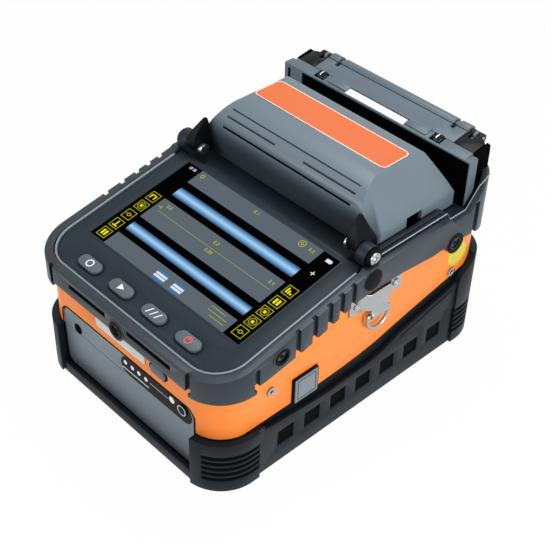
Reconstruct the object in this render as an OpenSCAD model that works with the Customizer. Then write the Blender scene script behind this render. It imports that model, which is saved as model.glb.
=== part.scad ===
// Fibre fusion splicer: tilted screen panel, wind cover over the splice unit, tube heater at the
// rear and a drawer battery at the front. +Z is up, the keys face -Y, the origin is the centre of
// the base. Millimetres.

/* [Body] */
// Outer width of the orange shell
body_w = 132; // [126:1:146]
// Outer depth of the orange shell
body_d = 183.6; // [180:0.2:200]
// Plan radius of the shell's corners
body_r = 18; // [12:1:24]
// Wall of the shell and of the lower tray
wall = 2.4; // [1.6:0.1:3]
// Underside of the lower tray above the rest plane
tray_z = 2.4; // [2.2:0.1:4]
// Lower edge of the orange shell at the front
shell_low = 32; // [28:1:36]
// Top edge of the shell under the deck
shell_top = 82; // [78:1:90]

/* [Boot and bumper] */
// Wall of the rubber boot
boot_wall = 2.4; // [1.8:0.1:3]
// How far the boot's corners stand proud
boot_bump = 1.5; // [0.8:0.1:2.5]
// Height of the boot's front sill
sill_h = 7; // [5:0.5:7]
// Width of the boot's front opening
boot_open_w = 101; // [101:1:104]
// Pitch of the square recesses along the boot's sides
recess_pitch = 17.7; // [14:0.1:19]
// Recesses on each side of the boot
recess_count = 7; // [3:1:7]
// Wall of the bumper frame
frame_wall = 3.6; // [3:0.1:5]
// Plan radius of the screw bosses in the frame
boss_r = 5.6; // [4:0.1:6]
// Height of the rubber feet
foot_h = 1; // [0.6:0.1:1.6]
// Radius of the rubber feet
foot_r = 6; // [4:0.5:7]

/* [Screen panel] */
// How far the panel's sides lie inside the shell
panel_edge = 2; // [1.5:0.1:5]
// Length of the panel along its slope
panel_d = 90; // [86:0.5:92]
// Thickness of the panel
panel_t = 3; // [2:0.1:4]
// Tilt of the panel
panel_tilt = 11.05; // [8:0.05:13]
// Height of the panel's front edge
panel_front_z = 70.8; // [66:0.1:72]
// Radius of the panel's front corners
panel_r = 17; // [10:1:20]
// Width of the lit screen
screen_w = 108; // [100:0.5:108]
// Depth of the lit screen
screen_d = 64.8; // [58:0.2:64.8]
// Lit screen's front edge behind the panel's front edge
screen_v = 21.5; // [19:0.5:22]
// Length of a key
key_l = 15; // [12:0.5:18]
// Width of a key
key_w = 6.8; // [6:0.2:8]
// Distance between the keys
key_pitch = 24; // [20:0.5:26]
// Key centres behind the panel's front edge
key_v = 7.8; // [7:0.1:9]
// How far a key stands above the panel
key_h = 1.6; // [1:0.1:2.4]
// Travel of a key
key_travel = 0.8; // [0.4:0.1:1]

/* [Wind cover] */
// Height of the cover's hinge axis
hinge_z = 93.26; // [92:0.1:96]
// Distance of the cover's hinge axis behind the panel
hinge_back = 4.04; // [3:0.02:6]
// Radius of the hinge axles
axle_r = 2; // [1.5:0.1:2.4]
// Top of the cover
cover_top = 118; // [116:0.5:124]
// How far the cover's flat top lies inside its skirt
cover_slope = 13.4; // [10:0.2:18]
// Distance from the shell's side to the cover's skirt
rail_wide = 7.4; // [7.4:0.2:10]
// Wall of the cover
cover_t = 2; // [1.4:0.1:2.6]
// Width of the orange label
label_w = 90; // [60:1:90]
// Depth of the orange label
label_d = 19; // [12:1:22]

/* [Splice unit] */
// Fibre axis behind the origin
fibre_y = 40; // [38:0.5:42]
// Height of the fibre axis
fibre_z = 92.5; // [91.5:0.1:94]
// Gap between the electrode tips
arc_gap = 2.4; // [1.6:0.1:3]
// Radius of the electrodes
electrode_r = 1; // [0.6:0.1:1.4]
// Length of each electrode, from the arc
electrode_l = 16.6; // [16.2:0.1:17]
// Radius of the microscope tubes
tube_r = 5.5; // [4:0.1:6]
// Length of the microscopes, from the fibre to their sensor boards
tube_l = 41.6; // [38:0.2:43]
// Side of the sensor boards
camera_w = 16; // [12:0.5:16]
// Travel of each fibre stage towards the arc
stage_travel = 4; // [2:0.5:5]

/* [Heater] */
// How far the ends of the heater's front bar lie inside the shell
heater_edge = 2; // [2:0.5:5]
// Depth from the heater's front face to the shell's rear
heater_d = 20.4; // [18.8:0.1:20.4]
// Height of the front bar's front edge
heater_top = 112.6; // [111:0.1:116]
// Half length of the heater lid
lid_x = 47.8; // [40:0.2:50]
// Width of the sleeve trough
trough_w = 5; // [4.6:0.1:6]

/* [Battery] */
// Width of the battery
batt_w = 99.6; // [90:0.2:100]
// Height of the battery
batt_h = 37.3; // [34:0.1:40]
// Depth of the battery
batt_d = 62; // [50:1:70]
// Corner radius of the battery's face
batt_r = 5; // [3:0.5:7]

/* [Right side] */
// Width of the port recess
port_w = 16.7; // [15:0.1:20]
// Height of the port recess
port_h = 15.9; // [15:0.1:18]
// Lower edge of the port recess
port_z = 31; // [30:0.5:33]
// Front edge of the port recess
port_y = -46.2; // [-50:0.1:-44]
// Wire radius of the D-rings
ring_wire = 1; // [0.8:0.1:1.3]
// Centre-line radius of the D-rings
ring_r = 7.15; // [6.6:0.05:8]

/* [Clearances] */
// Gap between shells that sit in each other
fit = 0.2; // [0.1:0.05:0.4]
// Gap round a piece that moves
run_gap = 0.4; // [0.3:0.05:0.6]
// Gap under a piece that rests on its seat
seat = 0.3; // [0.1:0.05:0.3]
// Radial clearance of a pin in its bore
pin_gap = 0.05; // [0.02:0.01:0.1]

/* [Hidden] */
$fn = 48;

hx = body_w / 2;
hy = body_d / 2;
panel_w = body_w - 2 * panel_edge;
cover_low_x = hx - rail_wide;
cover_top_x = cover_low_x - cover_slope;
heater_x = hx - heater_edge;
heater_y = hy - heater_d;
boot_x = hx + fit + boot_wall;
boot_y = hy + fit + boot_wall;
frame_x = hx + fit + frame_wall;
frame_y = hy + fit + frame_wall;
floor_z = tray_z + wall;
tall = cover_top + 20;

// Panel: its front edge lies just inside the shell's front face
panel_y = -(hy - 2);
panel_n = panel_t + seat;
panel_back = panel_y + panel_d * cos(panel_tilt);
function panel_z(y) = panel_front_z + (y - panel_y) * tan(panel_tilt);
function under_panel(y) = panel_z(y) - panel_n / cos(panel_tilt);
hinge_y = panel_back + hinge_back;
rim_out = 1.1;
lip = hx + fit - panel_w / 2 - rim_out - run_gap;
rim_gap = 0.05;
rim_h = 0.9;
rim_end = panel_d - 4.5;
glass_lip = 1;
glass_t = 1.5;
ledge = 1.4;
key_flange = 1;
flange_t = 1;
board_n = panel_t + seat + flange_t + key_travel + run_gap;
lcd_top = panel_t + seat;
lcd_t = 4.2;

// Deck
deck_z = shell_top + seat;
deck_t = 3;
deck_top = deck_z + deck_t;
deck_y = panel_back + 1.5;
rail_in = cover_low_x + 1.6;
rail_out = hx - fit;
rail_top = hinge_z - 2.7;
rail_step_y = heater_y - 14.4;
cover_front = hinge_y + 9.4;
cover_back = heater_y - 1.4;
rail_low = rail_top - 3.7;
rail_end = heater_y - 0.8;
lug_r = 5.6;
knuckle_r = 3.3;
knuckle_out = 1.2;
axle_in = cover_low_x - 8.2;
axle_out = frame_x - 1.4;
arm_in = axle_in + 2.9;
arm_out = rail_in - 0.4;
head_r = 3;

// Frame top, and the places of its screws
frame_top = rail_top - 1;
boss_front = [34.9 - hy, panel_z(34.9 - hy) - 6];
boss_rear = [hy - 31.1, shell_top - 9];
boss_mid = [hinge_y - 2.1, frame_top - 6.3];
boss_mid_r = boss_r + 0.4;
slots_y = [for (d = [44.8, 55.3, 64.8, 72.3, 79.8]) d - hy];
front_low = [for (d = [[73, 12.1], [47.8, 13.8], [25.8, 13.1], [hy - frame_y - 1, 8.8]])
    [d[0] - hy, panel_z(d[0] - hy) - d[1]]];
slot_w = 3;
slot_deep = 1.8;
slot_notch = 2;
corner_slot = hx - 15.5;
corner_back = hy - 20.1;

// Battery and its bay
bay_wall = 1.6;
bay_gap = 0.6;
batt_z = floor_z + seat + bay_wall + bay_gap;
batt_top = batt_z + batt_h;
batt_front = -(hy - 0.5);
bay_front = -(hy - wall - seat);
bay_back = batt_front + batt_d + bay_gap;
window_h = 11;
window_t = 0.8;
window_x = [-3.9, batt_w / 2 - 2];
window_z = batt_top - 0.9 - window_h / 2;
test_r = 3.1;
test_x = window_x[1] - 6.2;
test_z = window_z + 1.3;
seam_z = batt_top - 12.6;
latch_x = 25.5;
latch_l = 11.4;
latch_w = 5.2;
front_row_z = 52.7;
strip_x = -2.7;
strip_w = 37.2;
strip_h = 5.2;
cell_r = 9;
cell_pitch = 2 * cell_r + 0.4;
cell_n = floor((batt_w - 6) / cell_pitch);
vent_z = [39, 47];

// Main board
board_z = tray_z + 9.2;
board_t = 1.6;

// Fan at the rear
fan_c = [0, hy - wall - 8, 38];
fan_half = 20;

// Heater
heater_pin_r = 1.2;
heater_pin_y = heater_y + 20.3;
heater_pin_z = heater_top + 0.6;
bar_d = 6.2;
bar_rise = 1.3;
plate_t = 1;
trough_y = heater_y + bar_d + seat + plate_t + trough_w / 2;
trough_back = trough_y + trough_w / 2 + plate_t + seat;
cavity_z = 98;
clamp_x = [lid_x + 0.5, heater_x - 4];
lug_w = 2;
lug_x = [lid_x - 9, clamp_x[0] + 2.2];
pin_end = lug_x[1] + lug_w + 2.9;
roll_r = 3.7;

// Side bracket
bracket_y = 7.05;
bracket_t = 1.2;
bracket_z = 69;
ring_z = 60;
ring_x = hx + 3.4;
tongue_w = 2 * (ring_r - ring_wire - 0.4);

// Cover's fibre notches
notch_w = 10.8;
notch_up = 2.4;

// Splice unit
base_top = deck_z - seat;
base_t = 4.2;
block_x = 11;
block_top = fibre_z - 4.2;
stage_x = [17, 42];
stage_y = [fibre_y - 10, fibre_y + 10];
stage_top = fibre_z - 0.6;
holder_hinge = [fibre_y + 11.4, stage_top + 0.2];
holder_x = [stage_x[0] + 2, stage_x[1] - 8.6];
holder_w = 6.6;
motor_r = 6;

module rrect(w, d, r) {
    square([w - 2 * r, d], center = true);
    square([w, d - 2 * r], center = true);
    for (x = [-1, 1], y = [-1, 1])
        translate([x * (w / 2 - r), y * (d / 2 - r)]) circle(r);
}

module slab(w, d, r, h) { linear_extrude(h) rrect(w, d, r); }

module ring(w, d, r, t, h) {
    linear_extrude(h) difference() {
        rrect(w, d, r);
        rrect(w - 2 * t, d - 2 * t, r - t);
    }
}

module stadium(l, w) {
    square([l - w, w], center = true);
    for (s = [-1, 1]) translate([s * (l - w) / 2, 0]) circle(w / 2);
}

// Box between two corners
module span(a, b) { translate(a) cube(b - a); }

// Outline given in Y and Z, extruded along X and centred on it
module side(points, w) { rotate([90, 0, 90]) linear_extrude(w, center = true) polygon(points); }

// Flat shape in X and Z, standing from y towards +Y
module upright(y, t) { translate([0, y + t, 0]) rotate([90, 0, 0]) linear_extrude(t) children(); }

// Cylinder along X between two places
module x_pin(x0, x1, y, z, r) {
    translate([x0, y, z]) rotate([0, 90, 0]) cylinder(r = r, h = x1 - x0);
}

// Places things on the panel: X across, Y up the slope from the front edge, Z out of its face
module at_panel() { translate([0, panel_y, panel_front_z]) rotate([panel_tilt, 0, 0]) children(); }

module both() { for (s = [0, 1]) mirror([s, 0, 0]) children(); }

// Upper edge of the black tray, and so the lower edge of the orange shell
function edge_line(up) = [[-frame_y, shell_low + up], [hy - 121.8, shell_low + up],
    [hy - 101.8, shell_low + 0.9 + up], [hy - 91.2, shell_low + 1.8 + up],
    [hy - 80.8, shell_low + 3.2 + up], [hy - 69.8, shell_low + 5.7 + up],
    [hy - 49.8, shell_low + 9.8 + up], [hy - 23.8, shell_low + 14.8 + up],
    [hy - 17.8, shell_low + 16.4 + up], [frame_y, shell_low + 19.2 + up]];

module below_edge(up) { side(concat([[-frame_y, 0]], edge_line(up), [[frame_y, 0]]), body_w + 20); }

module battery_hole(grow) {
    upright(-frame_y, frame_y - hy + body_r) translate([0, batt_z + batt_h / 2])
        rrect(batt_w + 2 * grow, batt_h + 2 * grow, batt_r + grow);
}

module port_hole(depth) {
    span([hx - depth, port_y, port_z], [frame_x + 1, port_y + port_w, port_z + port_h]);
}

module screw_holes(r) {
    for (p = [boss_front, boss_rear]) both() x_pin(hx - wall - 1, hx + 1, p[0], p[1], r);
    translate([0, -hy - 1, boss_front_z()]) rotate([-90, 0, 0]) cylinder(r = r, h = wall + 2);
}
function boss_front_z() = panel_front_z - 7.6;

module base_tray() color("#15181b") {
    difference() {
        union() {
            intersection() {
                translate([0, 0, tray_z]) ring(body_w, body_d, body_r, wall, tall);
                below_edge(-fit);
            }
            intersection() {
                translate([0, 0, floor_z]) ring(body_w - 2 * wall - 2 * fit,
                    body_d - 2 * wall - 2 * fit, body_r - wall, 1.6, tall);
                below_edge(5);
            }
            translate([0, 0, tray_z]) slab(body_w - 2 * wall, body_d - 2 * wall, body_r - wall, wall);
            for (x = [-1, 1], y = [bay_back + bay_wall + 11, hy - 27.8])
                translate([x * (hx - 16), y, tray_z + 1]) cylinder(r = 3, h = 8);
            span([-14, hy - wall - 9.4, tray_z + 1], [14, hy - wall - 0.4, fan_c[2] - fan_half - 0.2]);
        }
        battery_hole(run_gap);
        span([-batt_w / 2 - bay_gap - bay_wall - seat, -hy + wall, floor_z + 0.01],
            [batt_w / 2 + bay_gap + bay_wall + seat, bay_back, tall]);
        port_hole(6);
        rear_vents();
    }
}

module rear_vents() {
    for (i = [-5:5]) span([i * 5 - 1.3, hy - 9, vent_z[0]], [i * 5 + 1.3, hy + 9, vent_z[1]]);
}

module body_shell() color("#ee8130") {
    top = [[frame_y, shell_top], [panel_back, shell_top], [panel_back, under_panel(panel_back)],
        [-frame_y, under_panel(-frame_y)]];
    difference() {
        intersection() {
            ring(body_w, body_d, body_r, wall, tall);
            side(concat(edge_line(0), top), body_w + 20);
        }
        battery_hole(run_gap);
        port_hole(6);
        screw_holes(1.6);
        upright(-hy - 1, 2) translate([strip_x, front_row_z])
            square([strip_w + 2 * fit, strip_h + 2 * fit], center = true);
        upright(-hy - 1, wall + 2) translate([latch_x, front_row_z])
            stadium(latch_l + 2 * run_gap, latch_w + 2 * run_gap);
        rear_vents();
    }
}

// Corner pads of the boot: the four corners of its plan, grown outwards
module boot_pads(h) {
    intersection() {
        slab(2 * (boot_x + boot_bump), 2 * (boot_y + boot_bump), body_r + 4, h);
        for (x = [-1, 1], y = [-1, 1])
            translate([x * (boot_x - 9), y * (boot_y - 3), h / 2]) cube([26, 44, h], center = true);
        difference() {
            slab(4 * hx, 4 * hy, 1, h);
            translate([0, 0, -1]) slab(boot_open_w, 4 * hy, 0.5, h + 2);
        }
    }
}

module rubber_boot() color("#242c34") {
    low = foot_h;
    pad_end = boot_y - 29;
    rear_start = pad_end + 4;
    sides = [[-frame_y - 2, 0], [-frame_y - 2, 31.4], [-pad_end, 31.4], [-pad_end, 29], [64.8 - hy, 25.4],
        [hy - 85.8, 26.4], [hy - 75.8, 28.2], [hy - 64.8, 32.7], [hy - 46.8, 36.2], [rear_start, 41.4],
        [rear_start + 1.5, 46], [rear_start + 14, 53], [frame_y + 2, 53], [frame_y + 2, 0]];
    difference() {
        union() {
            intersection() {
                translate([0, 0, low]) ring(2 * boot_x, 2 * boot_y, body_r + 2.5, boot_wall, 60);
                side(sides, body_w + 30);
            }
            intersection() {
                translate([0, 0, low]) boot_pads(60);
                side(sides, body_w + 30);
                translate([0, 0, low]) difference() {
                    slab(4 * hx, 4 * hy, 1, 60);
                    translate([0, 0, -1]) slab(body_w + 2 * fit, body_d + 2 * fit, body_r + fit, 70);
                }
            }
            translate([0, 0, low]) ring(2 * boot_x, 2 * boot_y, body_r + 2.5, 16, tray_z - low - 0.2);
        }
        span([-boot_open_w / 2, -frame_y - 4, sill_h], [boot_open_w / 2, -hy + 1, 60]);
        span([-boot_open_w / 2 + 4, hy - 1, 36], [boot_open_w / 2 - 4, frame_y + 4, 70]);
        both() for (i = [0:recess_count - 1])
            span([boot_x - 1, (i - (recess_count - 1) / 2) * recess_pitch + 1.4 - 5.2, 11.8],
                [boot_x + 3, (i - (recess_count - 1) / 2) * recess_pitch + 1.4 + 5.2, 21.4]);
        for (k = [0:4]) translate([0, 0, 7.8 + 3.5 * k])
            difference() {
                ring(2 * (boot_x + boot_bump + 1), 2 * (boot_y + boot_bump + 1), body_r + 5, 1.8, 2.5);
                for (r = [0, 1]) translate([0, 0, -1])
                    slab(r ? 400 : 2 * (boot_x - 12), r ? 2 * (boot_y - 26) : 400, 0.5, 4);
            }
    }
}

module feet() color("#1b1e20") {
    for (x = [-1, 1], y = [-1, 1])
        translate([x * (hx - 9), y * (hy - 9), 0]) cylinder(r = foot_r, h = foot_h);
}

module frame_slots() {
    both() {
        for (y = slots_y) {
            span([frame_x - slot_deep, y - slot_w / 2, panel_z(y) - 16],
                [frame_x + 1, y + slot_w / 2, panel_z(y) + 1]);
            x_pin(hx + fit - 0.5, frame_x + 1, y + 0.6, lookup(y, front_low) - 0.4, slot_notch);
        }
        span([frame_x - slot_deep, -corner_back - slot_w / 2, panel_front_z - 10.8],
            [frame_x + 1, -corner_back + slot_w / 2, panel_front_z + 1.8]);
        span([corner_slot - slot_w / 2, -frame_y - 1, panel_front_z - 10.8],
            [corner_slot + slot_w / 2, -frame_y + slot_deep, panel_front_z + 1]);
        span([frame_x - slot_deep, hy - 18.6, shell_top - 22], [frame_x + 1, hy - 15, shell_top + 9]);
    }
    for (x = [[-36, -8], [8, 39]]) span([x[0], -frame_y - 1, panel_front_z - 5.4],
        [x[1], -frame_y + 1.6, panel_front_z - 2.4]);
}

module frame_bosses(r, x0, x1) {
    for (p = [boss_front, boss_rear]) both() x_pin(x0, x1, p[0], p[1], r);
    translate([0, -x1 + frame_x - frame_y, boss_front_z()]) rotate([-90, 0, 0])
        cylinder(r = r, h = x1 - x0);
}

module bumper_frame() color("#59636c") {
    low = concat([[frame_y + 1, shell_top - 15], [hy - 10.8, shell_top - 11],
        [hy - 19.8, shell_top - 9.2], [hy - 34.8, shell_top - 7.8], [hy - 47.8, shell_top - 8.7],
        [hinge_y + 19.2, shell_top - 6.4], [hinge_y + 1.4, shell_top - 6],
        [hinge_y - 9.6, shell_top - 6.4]], front_low);
    high = [[-frame_y - 1, panel_z(-frame_y - 1) + 0.8],
        [panel_back - 3.5, panel_z(panel_back - 3.5) + 0.8], [panel_back - 1.5, frame_top],
        [rail_step_y - 2, frame_top], [rail_step_y + 1, rail_low], [rail_end - 1, rail_low],
        [rail_end + 8, rail_low + 10], [rail_end + 16, rail_low + 14], [frame_y + 1, rail_low + 14]];
    ramp = [[-frame_y - 1, under_panel(-frame_y - 1) + 0.2], [panel_back, under_panel(panel_back) + 0.2],
        [panel_back, tall], [-frame_y - 1, tall]];
    difference() {
        union() {
            intersection() {
                ring(2 * frame_x, 2 * frame_y, body_r + frame_wall, frame_wall + lip, tall);
                union() {
                    side(concat(low, high), body_w + 20);
                    both() span([corner_slot, -frame_y - 1, panel_front_z - 12.7],
                        [frame_x + 1, -corner_back, panel_front_z - 4.8]);
                }
            }
            frame_bosses(boss_r, hx + fit, frame_x + 0.3);
            both() x_pin(hx + fit, frame_x + 0.3, boss_mid[0], boss_mid[1], boss_mid_r);
        }
        difference() {
            translate([0, 0, -1]) slab(body_w + 2 * fit, body_d + 2 * fit, body_r + fit, tall);
            side(ramp, body_w + 20);
        }
        frame_slots();
        frame_bosses(3.3, hx + fit + 1.4, frame_x + 2);
        frame_bosses(1.6, hx - 1, frame_x + 2);
    }
}

// Screw of the bumper frame: its shank starts inside the shell, its head lies in the boss
module frame_screw() {
    shank = wall + 1 + fit + 1.5;
    cylinder(r = 1.5, h = shank);
    translate([0, 0, shank - 0.01]) difference() {
        cylinder(r = 2.9, h = 1.6);
        translate([0, 0, 0.7]) cylinder(r = 1.3, h = 2, $fn = 6);
    }
}

module frame_screws() color("#8a9095") {
    for (p = [boss_front, boss_rear]) both()
        translate([hx - wall - 1, p[0], p[1]]) rotate([0, 90, 0]) frame_screw();
    translate([0, -(hy - wall - 1), boss_front_z()]) rotate([90, 0, 0]) frame_screw();
}

// Small screws of the case and of the strap brackets
module side_screws() color("#d8dadb") both() {
    small_screw(hx, 31.9 - hy, 49);
    small_screw(hx, hy - 26, 49.8);
    for (s = [-1, 1]) small_screw(hx + 0.05 + bracket_t, bracket_y + s * 13.55, bracket_z);
}

module small_screw(x, y, z) {
    translate([x, y, z]) rotate([0, 90, 0]) difference() {
        cylinder(r = 2.1, h = 0.8);
        translate([0, 0, 0.3]) cylinder(r = 0.9, h = 1, $fn = 6);
    }
}

module splice_deck() color("#545e66") {
    well = [[-44, fibre_y - 26], [44, fibre_y + 24]];
    difference() {
        union() {
            intersection() {
                translate([0, 0, deck_z]) slab(body_w, body_d, body_r, deck_t);
                span([-hx - 1, deck_y, 0], [hx + 1, hy + 1, tall]);
            }
            both() {
                span([rail_in, deck_y, deck_z + 1], [rail_out, rail_step_y, rail_top]);
                span([rail_in, rail_step_y - 0.1, deck_z + 1], [rail_out, rail_end, rail_low]);
                difference() {
                    union() {
                        x_pin(rail_in, rail_out, hinge_y, hinge_z, lug_r);
                        x_pin(rail_in, rail_out + knuckle_out, hinge_y, hinge_z, knuckle_r);
                        side_block(rail_in, rail_out);
                    }
                    x_pin(rail_in - 1, frame_x + 2, hinge_y, hinge_z, axle_r + pin_gap);
                }
            }
        }
        span([well[0][0], well[0][1], deck_z - 1], [well[1][0], well[1][1], deck_top + 1]);
        both() x_pin(rail_in - 1, frame_x, hinge_y, hinge_z, axle_r + pin_gap);
        both() span([rail_in + 2.6, hinge_y + lug_r + 2, rail_top - 0.9],
            [rail_in + 3.6, rail_step_y - 2, rail_top + 1]);
    }
}

// Foot of a hinge lug, from the deck up to the axis
module side_block(x0, x1) {
    y0 = max(deck_y, hinge_y - lug_r);
    span([x0, y0, deck_z + 1], [x1, hinge_y + lug_r, hinge_z]);
}

module hinge_axles() color("#cfd3d6") both() {
    x_pin(axle_in + 1, axle_out - 1, hinge_y, hinge_z, axle_r);
    x_pin(axle_in, arm_in - 0.3, hinge_y, hinge_z, head_r);
    difference() {
        x_pin(rail_out + knuckle_out + 0.1, axle_out, hinge_y, hinge_z, knuckle_r);
        translate([axle_out - 1, hinge_y, hinge_z]) rotate([0, 90, 0]) cylinder(r = 1.5, h = 3, $fn = 6);
    }
}

module panel_outline(grow) {
    w = panel_w + 2 * grow;
    d = panel_d + 2 * grow;
    translate([0, panel_d / 2]) rrect(w, d, panel_r + grow);
    translate([-w / 2, panel_d / 2]) square([w, d / 2]);
}

module key_spots() {
    for (i = [-1.5:1:1.5]) translate([i * key_pitch, key_v]) children();
}

module front_panel() color("#3a444c") at_panel() {
    difference() {
        union() {
            translate([0, 0, -panel_t]) linear_extrude(panel_t) difference() {
                panel_outline(0);
                key_spots() stadium(key_l + 2 * run_gap, key_w + 2 * run_gap);
            }
            for (x = [-1, 0, 1]) translate([x * key_pitch, key_v, -board_n + 0.2])
                cylinder(r = 1.5, h = board_n - panel_t);
        }
        translate([0, screen_v + screen_d / 2, -panel_t - 1])
            cube_xy(screen_w + 0.6, screen_d + 0.6, panel_t + 2);
        translate([0, screen_v + screen_d / 2, -panel_t + ledge])
            cube_xy(screen_w + 2 * glass_lip + 0.4, screen_d + 2 * glass_lip + 0.4, panel_t);
    }
}

module cube_xy(w, d, h) { translate([-w / 2, -d / 2, 0]) cube([w, d, h]); }

module panel_rim() color("#aeb6bb") at_panel() {
    translate([0, 0, -1]) linear_extrude(1 + rim_h) difference() {
        panel_outline(rim_out);
        panel_outline(rim_gap);
        translate([-panel_w, rim_end]) square([2 * panel_w, panel_d]);
    }
}

module screen_glass() color("#0c0e10") at_panel()
    translate([0, screen_v + screen_d / 2, -panel_t + ledge + 0.05])
        cube_xy(screen_w + 2 * glass_lip, screen_d + 2 * glass_lip, glass_t);

module lcd_module() color("#c9ced2") at_panel()
    translate([0, screen_v + screen_d / 2, -lcd_top - lcd_t])
        cube_xy(screen_w + 5, screen_d + 7, lcd_t);

module key_board() color("#1f6b45") at_panel() {
    translate([0, key_v + 0.4, -board_n - 1.6]) cube_xy(3 * key_pitch + key_l + 4, 11, 1.6);
    key_spots() translate([0, 0, -board_n - 0.1]) cylinder(r = 2, h = 0.3);
}

module key() {
    translate([0, 0, -panel_t - seat]) linear_extrude(panel_t + seat + key_h) stadium(key_l, key_w);
    translate([0, 0, -panel_t - seat - flange_t]) linear_extrude(flange_t)
        stadium(key_l + 2 * key_flange, key_w + 2 * key_flange);
}

module place_key(i) { at_panel() translate([i * key_pitch, key_v, 0]) key(); }

module key_circle() color("#4a545c") place_key(-1.5);
module key_arrow() color("#4a545c") place_key(-0.5);
module key_bars() color("#4a545c") place_key(0.5);
module key_power() color("#4a545c") place_key(1.5);

module battery_bay() color("#23282c") {
    w = batt_w + 2 * (bay_gap + bay_wall);
    h = batt_h + 2 * (bay_gap + bay_wall);
    mid = batt_z + batt_h / 2;
    difference() {
        intersection() {
            upright(bay_front, bay_back + bay_wall - bay_front) translate([0, mid]) rrect(w, h, batt_r + 1);
            slab(body_w - 2 * (wall + seat), body_d - 2 * (wall + seat), body_r - wall - seat, tall);
        }
        upright(bay_front - 1, bay_back - bay_front + 1) translate([0, mid])
            rrect(batt_w + 2 * bay_gap, batt_h + 2 * bay_gap, batt_r);
        span([-12, bay_back - 1, mid - 4], [12, bay_back + 4, mid + 4]);
    }
    for (x = [-9, -3, 3, 9]) span([x - 0.8, bay_back - 0.3, mid - 3], [x + 0.8, bay_back + 2, mid + 3]);
    span([-12, bay_back + 0.9, mid - 4], [12, bay_back + bay_wall, mid + 4]);
}

module main_board() color("#1d6a44") {
    z = board_z + board_t - 0.1;
    span([10 - hx, bay_back + bay_wall + 2, board_z], [hx - 10, hy - 15.8, board_z + board_t]);
    for (x = [-40, -24, -8]) span([x - 5, 40, z], [x + 5, 52, z + 1.7]);
    span([16 - hx, 4, z], [40 - hx, 26, z + 2.3]);
    for (x = [-16, -6]) translate([x, 12, z]) cylinder(r = 4, h = 9);
    span([16 - hx, hy - 31.8, z], [36 - hx, hy - 23.8, z + 7.3]);
}

module arc_module() color("#26323b") {
    z = board_z + board_t + fit;
    span([6, 4, z], [hx - 12, 36, z + 20]);
    for (x = [14, hx - 20]) translate([x, 20, z + 19.9]) cylinder(r = 3.2, h = 6);
}

module side_ports() color("#2b3035") {
    x = hx - wall - 3;
    zc = port_z + port_h / 2;
    difference() {
        union() {
            span([x - 1.2, port_y - 3, floor_z + seat], [x, port_y + port_w + 3, port_z + port_h + 2]);
            span([x - 0.1, port_y + 1, port_z + 1], [x + 2.6, port_y + port_w - 1, port_z + port_h - 1]);
        }
        translate([x - 4, port_y + 4.8, zc]) rotate([0, 90, 0]) cylinder(r = 2.8, h = 9);
        span([x - 0.4, port_y + 10, zc - 5], [x + 4, port_y + 14.4, zc + 5]);
    }
}

module fan_housing() color("#1a1c1e") {
    difference() {
        span([-fan_half, fan_c[1] - 5, fan_c[2] - fan_half], [fan_half, fan_c[1] + 5, fan_c[2] + fan_half]);
        translate([0, fan_c[1] - 6, fan_c[2]]) rotate([-90, 0, 0]) cylinder(r = 18.4, h = 12);
    }
    for (a = [0, 120, 240]) translate([0, fan_c[1] - 5, fan_c[2]]) rotate([-90, a, 0])
        span([-1.5, 0, 0], [1.5, 19, 1.4]);
    translate([0, fan_c[1] - 5, fan_c[2]]) rotate([-90, 0, 0]) cylinder(r = 6, h = 1.4);
    translate([0, fan_c[1] - 5, fan_c[2]]) rotate([-90, 0, 0]) cylinder(r = 1, h = 8);
}

module fan_rotor() color("#2a2d30") translate([0, fan_c[1] - 3.2, fan_c[2]]) rotate([-90, 0, 0])
    difference() {
        union() {
            cylinder(r = 7, h = 7.6);
            for (k = [0:6]) rotate(k * 360 / 7) translate([0, 0, 3.8]) rotate([0, 90, 0])
                rotate(55) translate([-4, -0.5, 6]) cube([8, 1, 11.2]);
        }
        translate([0, 0, -1]) cylinder(r = 1 + pin_gap, h = 7.4);
    }

module strap_brackets() color("#dfe2e3") both() {
    hook = tongue_w / 2;
    x0 = hx + 0.05;
    x1 = ring_x - 0.4;
    pts = [[x0, -18], [x0, -hook - 3.4], [x1, -hook], [x1, hook], [x0, hook + 3.4], [x0, 18],
        [x0 + bracket_t, 18], [x0 + bracket_t, hook + 4.3], [x1 + bracket_t, hook + 0.6],
        [x1 + bracket_t, -hook - 0.6], [x0 + bracket_t, -hook - 4.3], [x0 + bracket_t, -18]];
    translate([0, bracket_y, 0]) difference() {
        union() {
            translate([0, 0, bracket_z - 5]) linear_extrude(10) polygon(pts);
            span([x1, -hook, ring_z], [x1 + bracket_t, hook, bracket_z]);
            translate([ring_x, -hook, ring_z]) rotate([-90, 0, 0])
                cylinder(r = ring_wire + 1, h = 2 * hook);
        }
        translate([ring_x, -hook - 1, ring_z]) rotate([-90, 0, 0])
            cylinder(r = ring_wire + pin_gap, h = 2 * hook + 2);
    }
}

module d_ring() color("#d5d9db") {
    drop = 2.5;
    translate([ring_x, bracket_y, ring_z]) {
        translate([0, -ring_r, 0]) rotate([-90, 0, 0]) cylinder(r = ring_wire, h = 2 * ring_r);
        for (s = [-1, 1]) {
            translate([0, s * ring_r, -drop]) cylinder(r = ring_wire, h = drop);
            translate([0, s * ring_r, 0]) sphere(ring_wire);
        }
        translate([0, 0, -drop]) rotate([-90, 0, 90]) rotate_extrude(angle = 180)
            translate([ring_r, 0]) circle(ring_wire, $fn = 24);
    }
}

module d_ring_right() d_ring();
module d_ring_left() mirror([1, 0, 0]) d_ring();

module tube_axis(s) { translate([0, fibre_y, fibre_z]) rotate([180 + s * 45, 0, 0]) children(); }

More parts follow.
